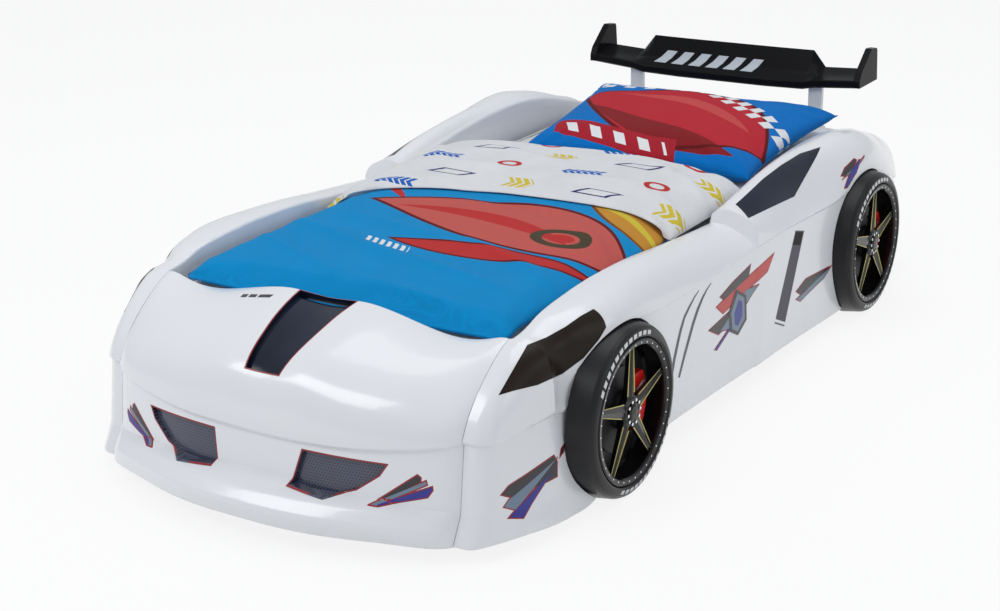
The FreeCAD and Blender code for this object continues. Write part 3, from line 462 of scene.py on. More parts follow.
def pad(name, across, along, spot):
    """Two skins sharing a rim. spot(u, v, side): u and v run -1 to 1, side is 1, -1 or 0."""
    def crowd(step, count):
        share = 2 * step / count - 1
        return 0.6 * share + 0.4 * math.sin(math.pi / 2 * share)

    built = bmesh.new()
    grid = {}
    for side in (1, -1):
        for i in range(across + 1):
            for j in range(along + 1):
                rim = i in (0, across) or j in (0, along)
                if not (rim and side == -1):
                    key = (i, j, 0 if rim else side)
                    grid[key] = built.verts.new(spot(crowd(i, across), crowd(j, along), key[2]))
        for i in range(across):
            for j in range(along):
                ring = [(i, j), (i + 1, j), (i + 1, j + 1), (i, j + 1)]
                corners = [grid.get(at + (side,)) or grid[at + (0,)] for at in ring]
                built.faces.new(corners if side == 1 else corners[::-1])
    built.verts.index_update()
    there = [(i, 0) for i in range(across)] + [(across, j) for j in range(along)]
    and_back = [(i, along) for i in range(across, 0, -1)] + [(0, j) for j in range(along, 0, -1)]
    rims[name] = [grid[at + (0,)].index for at in there + and_back]
    mesh = bpy.data.meshes.new(name)
    built.to_mesh(mesh)
    built.free()
    return added(name, mesh)


def corners_of(obj):
    flat = np.empty(len(obj.data.vertices) * 3)
    obj.data.vertices.foreach_get("co", flat)
    return flat.reshape(-1, 3)


def place_corners(obj, places):
    obj.data.vertices.foreach_set("co", places.ravel())
    obj.data.update()


def puff(obj, pressure, slack, cap, low=None, frames=20):
    """Runs the cloth, then keeps each point within cap metres of its start and above low."""
    before = corners_of(obj)
    pick(obj)
    bpy.ops.object.modifier_add(type="CLOTH")
    cloth = obj.modifiers[-1]
    for key, value in (("quality", 4), ("mass", 0.25), ("tension_stiffness", 14),
                       ("compression_stiffness", 14), ("shear_stiffness", 6),
                       ("bending_stiffness", 0.25), ("shrink_min", -slack),
                       ("use_pressure", True), ("uniform_pressure_force", pressure)):
        setattr(cloth.settings, key, value)
    cloth.settings.effector_weights.gravity = 0
    cloth.point_cache.frame_start, cloth.point_cache.frame_end = 1, frames
    for step in range(1, frames + 1):
        scene.frame_set(step)
    bpy.ops.object.modifier_apply(modifier=cloth.name)
    scene.frame_set(1)
    moved = corners_of(obj) - before
    far = np.linalg.norm(moved, axis=1, keepdims=True)
    places = before + moved * (np.minimum(far, cap) / np.maximum(far, 1e-9))
    if low is not None:
        places[:, 2] = np.maximum(places[:, 2], low)
    place_corners(obj, places)


def soften(obj, levels=1):
    modify(obj, "SUBSURF", levels=levels, render_levels=levels)
    bpy.ops.object.shade_smooth()
    print(obj.name, len(obj.data.polygons), "faces")


def heights(obj):
    """A function that gives the height of the topmost surface of obj at x, y, or None."""
    tree = BVHTree.FromPolygons([v.co.copy() for v in obj.data.vertices],
                                [tuple(p.vertices) for p in obj.data.polygons])

    def at(x, y):
        hit = tree.ray_cast(Vector((x, y, 2.0)), Vector((0, 0, -1)))
        return hit[0].z if hit[0] else None
    return at


def held(value, low, high):
    return max(low, min(high, value))


def dome(share, power):
    return max(0.0, 1 - abs(share) ** power) ** 0.5


def along_rows(rows, behind):
    """Reads a table of rows (place, a, b) at any place between them."""
    places = [row[0] for row in rows]
    return [float(np.interp(behind, places, [row[k] for row in rows])) for k in (1, 2)]


# %% [markdown]
# The mattress is a foam block in a quilted knitted cover with piping round its two edges. A
# bevelled block is remeshed into small even squares, puffed a little, and the stitching lines
# of the quilting are pressed in afterwards, because remeshing would rub them out.

# %% Mattress
bed_low, bed_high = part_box("mattress")
middle = (bed_low + bed_high) / 2
puff_room = Vector((0.006, 0.006, 0.006))
deselect()
bpy.ops.mesh.primitive_cube_add(size=1, location=middle, scale=bed_high - bed_low - 2 * puff_room)
mattress = bpy.context.object
mattress.name = "mattress_cover"
bpy.ops.object.transform_apply()
with Editing():
    bpy.ops.mesh.bevel(offset=0.022, segments=4, affect="EDGES")
modify(mattress, "REMESH", mode="VOXEL", voxel_size=0.016)
puff(mattress, 1.5, 0.0, puff_room.x)
soften(mattress)
spots = corners_of(mattress)
inside_edge = np.minimum((bed_high.x - bed_low.x) / 2 - np.abs(spots[:, 0]),
                         np.minimum(bed_high.y - spots[:, 1], spots[:, 1] - bed_low.y))
quilt_pitch, stitch_depth, stitch_width, edge_band = 0.16, 0.004, 0.016, 0.05
flat_part = 0.045
for turned in (spots[:, 0] + spots[:, 1], spots[:, 0] - spots[:, 1]):
    from_middle = np.abs(np.mod(turned / quilt_pitch, 1) - 0.5) * quilt_pitch
    dent = stitch_depth * np.exp(-((quilt_pitch / 2 - from_middle) / stitch_width) ** 2)
    facing = np.where(spots[:, 2] > middle.z, -1, 1) * (np.abs(spots[:, 2] - middle.z) > flat_part)
    spots[:, 2] += facing * dent * np.clip(inside_edge / edge_band, 0, 1)
spots[:, 2] = np.minimum(spots[:, 2], bed_high.z - 0.0005)
place_corners(mattress, spots)


# %% Piping round the mattress
def rounded_loop(name, low, high, corner, height, radius):
    """A closed round cord along a rectangle with round corners."""
    deselect()
    bpy.ops.mesh.primitive_plane_add(size=1, location=((low.x + high.x) / 2,
                                                       (low.y + high.y) / 2, height))
    loop = bpy.context.object
    loop.name = name
    loop.scale = (high.x - low.x, high.y - low.y, 1)
    bpy.ops.object.transform_apply()
    with Editing():
        bpy.ops.mesh.bevel(offset=corner, segments=8, affect="VERTICES")
        bpy.ops.mesh.delete(type="ONLY_FACE")
    bpy.ops.object.convert(target="CURVE")
    loop.data.bevel_depth = radius
    loop.data.bevel_resolution = 3
    bpy.ops.object.convert(target="MESH")
    bpy.ops.object.shade_smooth()
    return loop


inset = Vector((0.006, 0.006, 0.017))
pipings = [rounded_loop("mattress_piping_" + label, bed_low + inset, bed_high - inset, 0.026,
                        height, 0.0035)
           for label, height in (("top", bed_high.z - inset.z), ("bottom", bed_low.z + inset.z))]

# %% [markdown]
# The duvet lies in the tub between the side panels. It is thin over the foot end, and thicker
# towards the pillow, where its far end is turned down and shows the white side. Blue and white
# are two pads here, one on the other, because the print changes at the fold. Their rows give
# the height in millimetres at the edge and in the middle, by the distance from the foot end.

# %% Duvet
foot = -0.868
blue_start, blue_length = -0.862, 1.182
tub_half, fold_start, fold_tuck = 0.449, -0.14, 0.016
rest_height = bed_high.z + 0.0005
seam_sink = 0.006
BLUE_ROWS = [(4, 8, 12), (30, 26, 32), (70, 42, 50), (160, 50, 58), (280, 48, 62),
             (560, 40, 67), (745, 34, 68), (1190, 28, 60)]
RIDGES = [  # long soft folds in the top: start, end, height, half width
    ((-0.42, -0.48), (0.04, -0.655), 0.014, 0.021), ((-0.05, -0.61), (0.35, -0.70), 0.011, 0.020),
    ((-0.41, -0.62), (-0.08, -0.765), 0.011, 0.020), ((0.10, -0.47), (0.42, -0.60), 0.010, 0.021),
    ((-0.40, -0.26), (-0.22, -0.46), 0.010, 0.020), ((0.26, -0.24), (0.44, -0.38), 0.011, 0.019),
    ((-0.12, -0.15), (0.22, -0.21), -0.008, 0.026), ((0.00, -0.77), (0.33, -0.82), 0.009, 0.018),
    ((-0.30, -0.40), (0.10, -0.50), 0.007, 0.022), ((-0.33, -0.55), (-0.20, -0.72), -0.008, 0.024),
]


def ridge_lift(x, y, ridges):
    lift = 0.0
    for (x1, y1), (x2, y2), tall, half in ridges:
        run = Vector((x2 - x1, y2 - y1))
        share = held(Vector((x - x1, y - y1)).dot(run) / run.length_squared, 0.0, 1.0)
        gap = math.hypot(x - x1 - run.x * share, y - y1 - run.y * share)
        crest = 0.45 * math.exp(-(gap / half) ** 2) + 0.75 * math.exp(-1.4 * gap / half)
        lift += tall * crest * (0.35 + 0.65 * math.sin(math.pi * share))
    return lift


def blue_spot(u, v, side):
    y = blue_start + (v + 1) / 2 * blue_length
    edge, crown = along_rows(BLUE_ROWS, (y - foot) * 1000)
    half = tub_half - 0.004 * math.cos(y * 9) - 0.02 * max(0.0, (abs(v) - 0.97) / 0.03)
    half -= fold_tuck * held((y - fold_start) / 0.08, 0.0, 1.0)
    x = u * half
    rim = rest_height + edge * 0.00045
    if side == 0:
        return (x, y, rim)
    if side < 0:
        return (x, y, rest_height + (rim - rest_height) * (1 - dome(u, 10) * dome(v, 10)))
    full = edge + (crown - edge) * dome(u, 3.4)
    lift = ridge_lift(x, y, RIDGES) + 0.003 * math.sin(9 * x + 5 * y) * math.cos(7 * y)
    over = dome(u, 12) * dome(v, 14)
    return (x, y, rim + (rest_height + full * 0.001 - seam_sink + lift - rim) * over)


duvet = pad("duvet_blue", 76, 98, blue_spot)
puff(duvet, 2.5, 0.035, 0.013, low=rest_height - 0.0004)
rim_places = {"duvet_blue": corners_of(duvet)}
soften(duvet)

# %% [markdown]
# The turned-down end rests on the blue pad, so its underside reads the height of the pad that
# has just been made. Its free edge runs in a slant across the bed, as somebody left it.

# %% White turned-down end
WHITE_ROWS = [(745, 44, 72), (772, 54, 86), (900, 58, 98), (1040, 58, 102), (1150, 52, 94),
              (1192, 38, 68), (1206, 20, 40)]
DRAPES = [
    ((-0.40, -0.02), (-0.10, 0.03), 0.009, 0.026), ((0.05, -0.03), (0.30, 0.06), 0.009, 0.026),
    ((-0.25, 0.18), (0.05, 0.10), 0.009, 0.026), ((0.20, 0.24), (0.43, 0.10), 0.012, 0.022),
    ((0.33, 0.02), (0.44, -0.05), 0.013, 0.018), ((-0.43, 0.20), (-0.30, 0.02), 0.010, 0.022),
    ((0.36, 0.30), (0.30, 0.14), -0.010, 0.020), ((-0.10, 0.29), (0.22, 0.27), 0.008, 0.022),
]
wall_gap = 0.4625  # the panels' inner walls stand at 0.464 m
white_half, white_start, white_end, slant = 0.4585, -0.112, 0.338, 0.15
blue_height = heights(duvet)


def white_spot(u, v, side):
    start = white_start - slant * max(0.0, -u) ** 1.6 - 0.012 * (1 - u)
    end = white_end - 0.012 * u * u
    y = start + (v + 1) / 2 * (end - start)
    first, last = WHITE_ROWS[0][0], WHITE_ROWS[-1][0]
    edge, crown = along_rows(WHITE_ROWS, first + (v + 1) / 2 * (last - first))
    x = u * (white_half - 0.002 * math.cos(y * 13 + 1) - 0.006 * max(0.0, (abs(v) - 0.98) / 0.02))
    if abs(x) > 0.432 or y > 0.315:  # past the blue pad
        floor = rest_height + 0.002
    else:
        under = blue_height(held(x, -0.44, 0.44), held(y, -0.84, 0.3))
        floor = max(rest_height + 0.001, (under or rest_height) + 0.0012)
    rim = max(floor + 0.005, rest_height + edge * 0.0005 * (1 - 0.35 * abs(u) ** 12))
    if side == 0:
        return (x, y, rim)
    if side < 0:
        return (x, y, floor + (rim - floor) * (1 - dome(u, 14) * dome(v, 14)))
    full = edge + (crown - edge) * dome(u, 2.6)
    lift = ridge_lift(x, y, DRAPES) + 0.003 * math.sin(11 * x - 6 * y)
    over = dome(u, 12) * dome(v, 9)
    crest = max(rest_height + full * 0.001 - seam_sink + lift, floor + 0.01)
    return (x, y, rim + (crest - rim) * over)


fold = pad("duvet_fold", 76, 50, white_spot)
puff(fold, 3.0, 0.05, 0.012, low=rest_height + 0.0005)
kept_in = corners_of(fold)
kept_in[:, 0] = np.clip(kept_in[:, 0], -wall_gap, wall_gap)
place_corners(fold, kept_in)
rim_places["duvet_fold"] = corners_of(fold)
soften(fold)

# %% [markdown]
# The pillow lies flat at the head end. Between its four corners the sides are drawn in, which
# every filled pillowcase does, and a seam runs round the rim.

# %% Pillow
low_corner, high_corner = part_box("pillow")
lie = math.radians(3.5)
pillow_at = Vector(((low_corner.x + high_corner.x) / 2 + 0.004,
                    (low_corner.y + high_corner.y) / 2 + 0.002, low_corner.z + 0.054))
PILLOW_HALF = (0.404, 0.314, 0.060)
drawn_in_x, drawn_in_y, flatter_below = 0.05, 0.07, 0.76


def pillow_spot(u, v, side):
    wide, deep, thick = PILLOW_HALF
    x = u * wide * (1 - drawn_in_x * (1 - v * v)) * (1 - max(0.0, -u) * 0.11 * (1 - v))
    y = v * deep * (1 - drawn_in_y * (1 - u * u))
    fat = (dome(u, 2.4) * dome(v, 2.4)) ** 0.8
    z = side * thick * fat * (1.0 if side > 0 else flatter_below)
    if side:
        z += 0.004 * math.sin(7 * u + 3 * v) * fat
        corner = max(0.0, abs(u) + abs(v) - 1.25)
        z += side * 0.010 * math.sin(26 * (abs(u) - abs(v))) * corner * fat
    return Matrix.Rotation(lie, 3, "X") @ Vector((x, y, z)) + pillow_at


pillow = pad("pillow_case", 66, 52, pillow_spot)
puff(pillow, 3.5, 0.04, 0.013, low=low_corner.z)
rim_places["pillow_case"] = corners_of(pillow)
soften(pillow)


# %% Seams and hems
def cords(name, routes, radius, rounds, closed=False):
    """Round cords as one mesh. A route's points are x, y, z and the share of the radius."""
    curve = bpy.data.curves.new(name, "CURVE")
    curve.dimensions = "3D"
    for route in routes:
        line = curve.splines.new("POLY")
        line.points.add(len(route) - 1)
        for point, (x, y, z, share) in zip(line.points, route):
            point.co, point.radius = (x, y, z, 1), share
        line.use_cyclic_u = closed
    curve.bevel_depth, curve.bevel_resolution = radius, rounds
    made = added(name, curve)
    bpy.ops.object.convert(target="MESH")
    bpy.ops.object.shade_smooth()
    return made


def hem(name, pad_name, radius):
    """A closed cord along the rim of a pad, through the rim's own points."""
    route = [tuple(at) + (1.0,) for at in rim_places[pad_name][rims[pad_name]]]
    return cords(name, [route], radius, 2, closed=True)


pillow_seam = hem("pillow_seam", "pillow_case", 0.0017)
fold_hem = hem("fold_hem", "duvet_fold", 0.0012)
duvet_hem = hem("duvet_hem", "duvet_blue", 0.0012)

# %% [markdown]
# The prints are drawn by shader nodes, not by pictures. Each motif is a small group that turns
# a place on the cloth into a mask: a sweeping band, slanted bars or chevrons, a ring, a diamond
# outline, a chequer. They read object coordinates, so they stay on the cloth when it moves.


# %% Print groups
def local_place(wires, place, centre, angle):
    """Moves a place to a motif's centre and turns it; gives the two separate coordinates."""
    moved = wires.node("ShaderNodeVectorMath", {0: place, 1: centre}, operation="SUBTRACT")[0]
    turned = wires.node("ShaderNodeVectorRotate", {"Vector": moved, "Angle": angle})[0]
    return wires.axes(turned)[:2]


def inside(wires, distance, soft=0.0012):
    """A mask that is 1 where the distance is below zero."""
    return wires.node("ShaderNodeMapRange", {"Value": distance, 1: soft, 2: -soft})[0]


def motif_group(name, masks, **inputs):
    """A group that has a place, a centre and an angle, and x and y as the motif has them."""
    every = {"Place": (0, 0, 0), "Centre": (0, 0, 0), "Angle": 0.0}
    every.update({label.replace("_", " "): value for label, value in inputs.items()})
    tree, wires, given, result = group(name, every, masks)
    return (tree, wires, given, result) + local_place(wires, given["Place"], given["Centre"],
                                                      given["Angle"] * -1.0)


sweep, wires, given, result, x, y = motif_group(
    "print_sweep", ("Fill", "Outline"), Half_Length=0.2, Half_Width=0.05, Bend=0.0, Lean=0.0,
    Line=0.004)
s = x / given["Half Length"]
rest = 1.0 - s * s
wide = rest * given["Half Width"] * (s * given["Lean"] + 1.0)
edge = abs(y - rest * given["Bend"]) - wide
wires.join(result["Fill"], inside(wires, edge))
wires.join(result["Outline"], inside(wires, abs(edge) - given["Line"] * 0.5))

bars, wires, given, result, x, y = motif_group(
    "print_bars", ("Fill",), Half_Length=0.03, Half_Height=0.01, Pitch=0.015, Share=0.6,
    Slant=1.0, Chevron=0.0)
leaned = wires.node("ShaderNodeMix", {0: given["Chevron"], 2: y, 3: abs(y)})[0]
run = leaned * given["Slant"] + x
stripe = wires.math("FRACT", run / given["Pitch"]) < given["Share"]
within = (abs(run) < given["Half Length"]) * (abs(y) < given["Half Height"])
wires.join(result["Fill"], stripe * within)

ring, wires, given, result, x, y = motif_group(
    "print_ring", ("Fill", "Middle"), Radius=0.015, Line=0.006)
far = wires.math("SQRT", x * x + y * y * 1.7)
wires.join(result["Fill"], inside(wires, abs(far - given["Radius"]) - given["Line"] * 0.5))
wires.join(result["Middle"], inside(wires, far - given["Radius"] * 0.55))

dart, wires, given, result, x, y = motif_group(
    "print_dart", ("Outline",), Half_Length=0.04, Half_Height=0.013, Line=0.0022)
slope = abs(y * 1.2 + x) / given["Half Length"] + abs(y) / given["Half Height"]
wires.join(result["Outline"], abs(slope - 1.0) * given["Half Height"] < given["Line"])

tiled, wires, given, result = group(
    "print_tile", {"Place": (0, 0, 0), "Width": 0.22, "Depth": 0.11}, ("Place", "Kind"))
x, y = wires.axes(given["Place"])[:2]
row = math.floor(y / given["Depth"])
odd = (row + 40.0) % 2.0
column = x / given["Width"] + odd * 0.5
count = math.floor(column)
across = (column - count - 0.5) * given["Width"]
up = y - row * given["Depth"] - given["Depth"] * 0.5
wires.join(result["Place"], wires.node("ShaderNodeCombineXYZ", {0: across, 1: up})[0])
wires.join(result["Kind"], (count + 40.0) % 2.0 + odd * 2.0)


# %% Printed cotton
def printed(name, ground, layers=lambda wires, place: ()):
    """Cotton with a print. layers(wires, place) gives pairs of a mask and a colour."""
    cloth = finish(name, ground, 0.9, effect=None, Sheen_Weight=0.04, Sheen_Roughness=0.5,
                   Specular_IOR_Level=0.12)
    wires = Wiring(cloth.node_tree)
    inputs = cloth.node_tree.nodes["Principled BSDF"].inputs
    weave_bump_and_shade = wires.node("ShaderNodeGroup", node_tree=weave_and_crease_shade)
    # Painted shade and light: the ground is darker where the crease noise is low and lighter where
    # it is high.
    colour = wires.mix(weave_bump_and_shade["Shade"], tuple(c * 0.88 for c in ground) + (1,),
                       tuple(min(1.0, c * 1.07) for c in ground) + (1,))
    for mask, shade in layers(wires, wires.place()):
        colour = wires.mix(mask, colour, tuple(shade) + (1,))
    wires.join(inputs["Base Color"], colour)
    raised = wires.node("ShaderNodeBump", {"Strength": 0.5, "Distance": 0.008,
                                           "Height": weave_bump_and_shade["Height"]})
    wires.join(inputs["Normal"], raised[0])
    return cloth


def drawing(wires, place):
    """A function that draws a motif on the cloth; its sizes are given by the sockets' names."""
    def motif(tree, centre, angle, **values):
        settings = {"Place": place, "Centre": tuple(centre) + (0,), "Angle": math.radians(angle)}
        settings.update({key.replace("_", " "): value for key, value in values.items()})
        return wires.node("ShaderNodeGroup", settings, node_tree=tree)
    return motif


RED, DEEP_RED, ORANGE = (0.52, 0.030, 0.030), (0.12, 0.006, 0.008), (0.58, 0.27, 0.035)
PALE_RED, SUN, NAVY = (0.56, 0.105, 0.09), (0.66, 0.53, 0.05), (0.02, 0.025, 0.14)
BLUE, SHADE_BLUE, PAPER = (0.0, 0.27, 0.62), (0.0, 0.17, 0.56), (0.80, 0.81, 0.83)


def duvet_print(wires, place):
    motif = drawing(wires, place)
    wide = motif(sweep, (0.09, -0.335), -8, Half_Length=0.40, Half_Width=0.150, Bend=0.035,
                 Lean=0.35, Line=0.012)
    inner = motif(sweep, (0.05, -0.345), -8, Half_Length=0.27, Half_Width=0.030, Bend=0.045,
                  Lean=0.2)
    lower = motif(sweep, (0.20, -0.50), 6, Half_Length=0.28, Half_Width=0.040, Bend=-0.03,
                  Lean=-0.3, Line=0.008)
    gold = motif(sweep, (0.36, -0.145), -24, Half_Length=0.17, Half_Width=0.075, Bend=0.02,
                 Lean=0.2, Line=0.01)
    gold_line = motif(sweep, (0.35, -0.15), -24, Half_Length=0.15, Half_Width=0.012, Bend=0.02)
    wheel = motif(ring, (0.28, -0.35), 0, Radius=0.062, Line=0.030)
    trail = motif(bars, (-0.055, -0.575), -14, Half_Length=0.075, Half_Height=0.018, Pitch=0.024,
                  Share=0.55, Slant=0.8)
    dash = motif(sweep, (-0.30, -0.20), -38, Half_Length=0.10, Half_Width=0.012, Bend=0.008)
    return [(dash["Fill"], RED), (gold["Fill"], ORANGE), (gold["Outline"], (0.20, 0.07, 0.01)),
            (gold_line["Fill"], SUN), (lower["Fill"], RED), (lower["Outline"], DEEP_RED),
            (wide["Fill"], PALE_RED), (wide["Outline"], DEEP_RED), (inner["Fill"], RED),
            (wheel["Fill"], (0.07, 0.055, 0.03)), (wheel["Middle"], RED),
            (trail["Fill"], PAPER)]


def fold_print(wires, place):
    tile = wires.node("ShaderNodeGroup", {"Place": place, "Width": 0.215, "Depth": 0.112},
                      node_tree=tiled)
    motif = drawing(wires, tile["Place"])
    shapes = [
        motif(bars, (0, 0), 8, Half_Length=0.055, Half_Height=0.017, Pitch=0.0183, Share=0.72,
              Slant=-0.9, Chevron=1.0)["Fill"],
        motif(ring, (0, 0), 0, Radius=0.027, Line=0.015)["Fill"],
        motif(bars, (0, 0), 184, Half_Length=0.033, Half_Height=0.025, Pitch=0.022, Share=0.68,
              Slant=-0.8, Chevron=1.0)["Fill"],
        motif(dart, (0, 0), 12, Half_Length=0.062, Half_Height=0.022, Line=0.003)["Outline"]]
    shades = ((0.02, 0.13, 0.50), RED, SUN, NAVY)
    return [(mask * wires.math("COMPARE", tile["Kind"], float(which), 0.2), shade)
            for which, (mask, shade) in enumerate(zip(shapes, shades))]


def chequer_run(wires, place, centre, angle, half_length, size=0.034):
    """Two rows of squares in a straight run."""
    x, y = local_place(wires, place, tuple(centre) + (0,), -math.radians(angle))
    squares = (math.floor(x / size) + math.floor(y / size) + 60.0) % 2.0
    return squares * ((abs(x) < half_length) * (abs(y) < size))


def pillow_print(wires, place):
    motif = drawing(wires, place)
    wide = motif(sweep, (0.055, 0.665), -20, Half_Length=0.36, Half_Width=0.205, Bend=0.03,
                 Lean=0.1, Line=0.014)
    gleam = motif(sweep, (0.06, 0.72), -20, Half_Length=0.27, Half_Width=0.026, Bend=0.05,
                  Lean=0.3)
    under = motif(sweep, (0.06, 0.57), -20, Half_Length=0.30, Half_Width=0.045, Bend=-0.03,
                  Lean=0.2)
    placard = motif(bars, (-0.03, 0.485), -6, Half_Length=0.20, Half_Height=0.034, Pitch=1.0,
                    Share=1.0, Slant=0.5)
    stripes = motif(bars, (-0.03, 0.485), -6, Half_Length=0.17, Half_Height=0.018, Pitch=0.080,
                    Share=0.45, Slant=0.9)
    return [(wide["Fill"], (0.50, 0.020, 0.035)), (under["Fill"], (0.24, 0.012, 0.016)),
            (gleam["Fill"], (0.58, 0.07, 0.07)), (wide["Outline"], DEEP_RED),
            (placard["Fill"], (0.40, 0.016, 0.03)), (stripes["Fill"], PAPER),
            (chequer_run(wires, place, (-0.15, 0.925), 2, 0.17), PAPER),
            (chequer_run(wires, place, (0.205, 0.82), -34, 0.238), PAPER)]


blue_cotton = printed("blue_printed_cotton", BLUE, duvet_print)
white_cotton = printed("white_printed_cotton", (0.76, 0.77, 0.79), fold_print)
pillow_cotton = printed("pillow_printed_cotton", SHADE_BLUE, pillow_print)
seam_blue = printed("blue_seam", (0.0, 0.16, 0.45))
seam_white = printed("white_hem", (0.74, 0.75, 0.78))
knit = printed("mattress_knit", (0.74, 0.74, 0.72))

# %% Dress the bedding
for piece, material, fill, node_name in ((mattress, knit, 1, "mattress"),
                                         (duvet, blue_cotton, 0.5, "duvet"),
                                         (fold, white_cotton, 0.4, "duvet"),
                                         (pillow, pillow_cotton, 0.7, "pillow")):
    wear(piece, material, node_name + "_body", node_name + "_cloth")
    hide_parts(node_name)
for piece, material, node_name in ((pipings[0], seam_white, "mattress"),
                                   (pipings[1], seam_white, "mattress"),
                                   (pillow_seam, seam_blue, "pillow"),
                                   (fold_hem, seam_white, "duvet"),
                                   (duvet_hem, seam_blue, "duvet")):
    wear(piece, material, node_name + "_body", node_name + "_cloth")
print("bedding dressed")

# %% [markdown]
# The stickers are cut by hand: a fine grid is placed in front of the panel, sliced along each
# straight side of the outline, and thrown onto the panel with a Shrinkwrap. A red sheet a little
# larger lies under the coloured ones and shows as their edge. Nearly all of them are plain slanted
# bars, which make the big pale panels look quick; one thin slate line among the slashes is
# painted shadow under the foot of the door vent. Their corners are in millimetres.

# %% Cut and lay stickers
grid_step, cut_margin, stand_off, film = 0.008, 0.012, 0.05, 0.00015


def cut_flat(corners, out, grow=0.0):
    """A piece of grid cut to a convex outline, standing off the panel."""
    normal = Vector(out).normalized()
    across = Vector((0, 0, 1)).cross(normal).normalized()
    up = normal.cross(across)
    points = [Vector(p) * 0.001 for p in corners]
    middle = sum(points, Vector()) / len(points)
    flat = [Vector(((p - middle).dot(across), (p - middle).dot(up), 0)) for p in points]
    if sum(a.x * b.y - b.x * a.y for a, b in zip(flat, flat[1:] + flat[:1])) < 0:
        flat.reverse()
    wide, tall = (2 * max(abs(p[k]) for p in flat) + cut_margin for k in (0, 1))
    deselect()
    bpy.ops.mesh.primitive_grid_add(x_subdivisions=max(2, round(wide / grid_step)),
                                    y_subdivisions=max(2, round(tall / grid_step)), size=1)
    piece = bpy.context.object
    piece.scale = (wide, tall, 1)
    bpy.ops.object.transform_apply()
    with Editing():
        for a, b in zip(flat, flat[1:] + flat[:1]):
            outward = Vector((b.y - a.y, a.x - b.x, 0)).normalized()
            bpy.ops.mesh.select_all(action="SELECT")
            bpy.ops.mesh.bisect(plane_co=a + outward * grow, plane_no=outward, clear_outer=True)
    place = Matrix((across, up, normal)).transposed().to_4x4()
    place.translation = middle + normal * stand_off
    piece.matrix_world = place
    return piece


def lay(name, panel, outlines, out, lift, material, slot, grow=0.0):
    """Cuts the outlines, lays them lift millimetres over the panel and gives them a thickness."""
    pieces = [cut_flat(corners, out, grow) for corners in outlines]
    deselect()
    for piece in pieces:
        piece.select_set(True)
    bpy.context.view_layer.objects.active = pieces[0]
    if len(pieces) > 1:
        bpy.ops.object.join()
    whole = bpy.context.object
    whole.name = name
    modify(whole, "SHRINKWRAP", target=panel, wrap_method="PROJECT", use_project_z=True,
           use_positive_direction=False, use_negative_direction=True, offset=lift * 0.001)
    bpy.ops.object.transform_apply()
    modify(whole, "SOLIDIFY", thickness=film, offset=-1)
    bpy.ops.object.shade_smooth_by_angle(angle=math.radians(40))
    return wear(whole, material, "bed", slot)


def other_side(piece, name):
    """The same piece on the car's other side."""
    twin = added(name, piece.data.copy())
    twin.scale.x = -1
    bpy.ops.object.transform_apply()
    with Editing():
        bpy.ops.mesh.normals_make_consistent(inside=False)
    return wear(twin, piece.data.materials[0], "bed", piece["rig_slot"])


INKS = {
    "edge": (finish("sticker_edge", (0.33, 0.015, 0.02), 0.3), "tail_red"),
    "dark": (finish("sticker_dark", (0.030, 0.027, 0.032), 0.3), "wing_black"),
    "red": (finish("sticker_red", (0.55, 0.04, 0.03), 0.3), "tail_red"),
    "steel": (finish("sticker_steel", (0.16, 0.23, 0.31), 0.3), "silver_trim"),
    "blue": (finish("sticker_blue", (0.025, 0.025, 0.27), 0.3), "insert_navy"),
    "slate": (finish("sticker_slate", (0.055, 0.065, 0.085), 0.3), "smoked_lamp"),
    "chrome": (finish("sticker_chrome", (0.45, 0.49, 0.54), 0.25), "silver_trim"),
    "white": (finish("tyre_paint", (0.72, 0.72, 0.72), 0.5), "body_white"),
}

# %% Side, corner, bumper and hood stickers
OUTWARD, ROUND_CORNER = (1, 0, 0), (0.86, -0.5, 0.1)
AHEAD, HOOD_WAY = (0.3, -1, 0.25), (0, -0.35, 0.94)
side_dark = [[(591, -136, 291), (590, -70, 306), (591, 32, 321), (592, 20, 296), (591, -115, 277)],
             [(592, -197, 227), (592, -77, 240), (594, -42, 216), (593, -148, 201)],
             [(602, 301, 171), (603, 357, 187), (610, 498, 179), (608, 459, 168), (603, 324, 157)],
             [(599, 592, 407), (598, 614, 421), (603, 670, 434), (606, 677, 430),
              (608, 655, 416), (605, 615, 402)]]
side_steel = [[(593, -137, 206), (593, 5, 265), (594, 74, 257), (594, -87, 195)],
              [(603, 299, 151), (607, 440, 168), (615, 515, 178), (609, 472, 159),
               (604, 324, 138)],
              [(603, 594, 396), (604, 618, 406), (610, 725, 430), (612, 724, 425),
               (611, 675, 415), (605, 603, 393)]]
side_blue = [[(594, -167, 169), (594, -89, 198), (594, 77, 257), (594, 11, 231),
              (595, -122, 152)],
             [(609, 594, 374), (606, 636, 409), (609, 692, 427), (612, 707, 422),
              (613, 662, 400), (614, 624, 370)]]
side_red = [[(591, -157, 272), (591, -105, 280), (594, 165, 311), (594, 128, 277),
             (592, -123, 246)]]
badge = [[(594, -87, 187), (592, -94, 237), (591, -51, 284), (593, 5, 251), (595, 6, 189),
          (595, -43, 164)],
         [(594, -75, 191), (593, -81, 232), (592, -45, 272), (593, -7, 249), (595, -5, 195),
          (595, -45, 174)],
         [(594, -60, 197), (593, -63, 227), (592, -38, 254), (593, -19, 242), (594, -19, 207),
          (594, -43, 188)]]


def ribbon(x, line):
    """Four-cornered pieces along a curved stripe; line has y, z and half width."""
    rails = []
    for before, here, after in zip(line[:1] + line[:-1], line, line[1:] + line[-1:]):
        way = Vector((after[0] - before[0], after[1] - before[1])).normalized()
        rails.append([(x, here[0] - way.y * half, here[1] + way.x * half)
                      for half in (here[2], -here[2])])
    return [[one[0], one[1], two[1], two[0]] for one, two in zip(rails, rails[1:])]


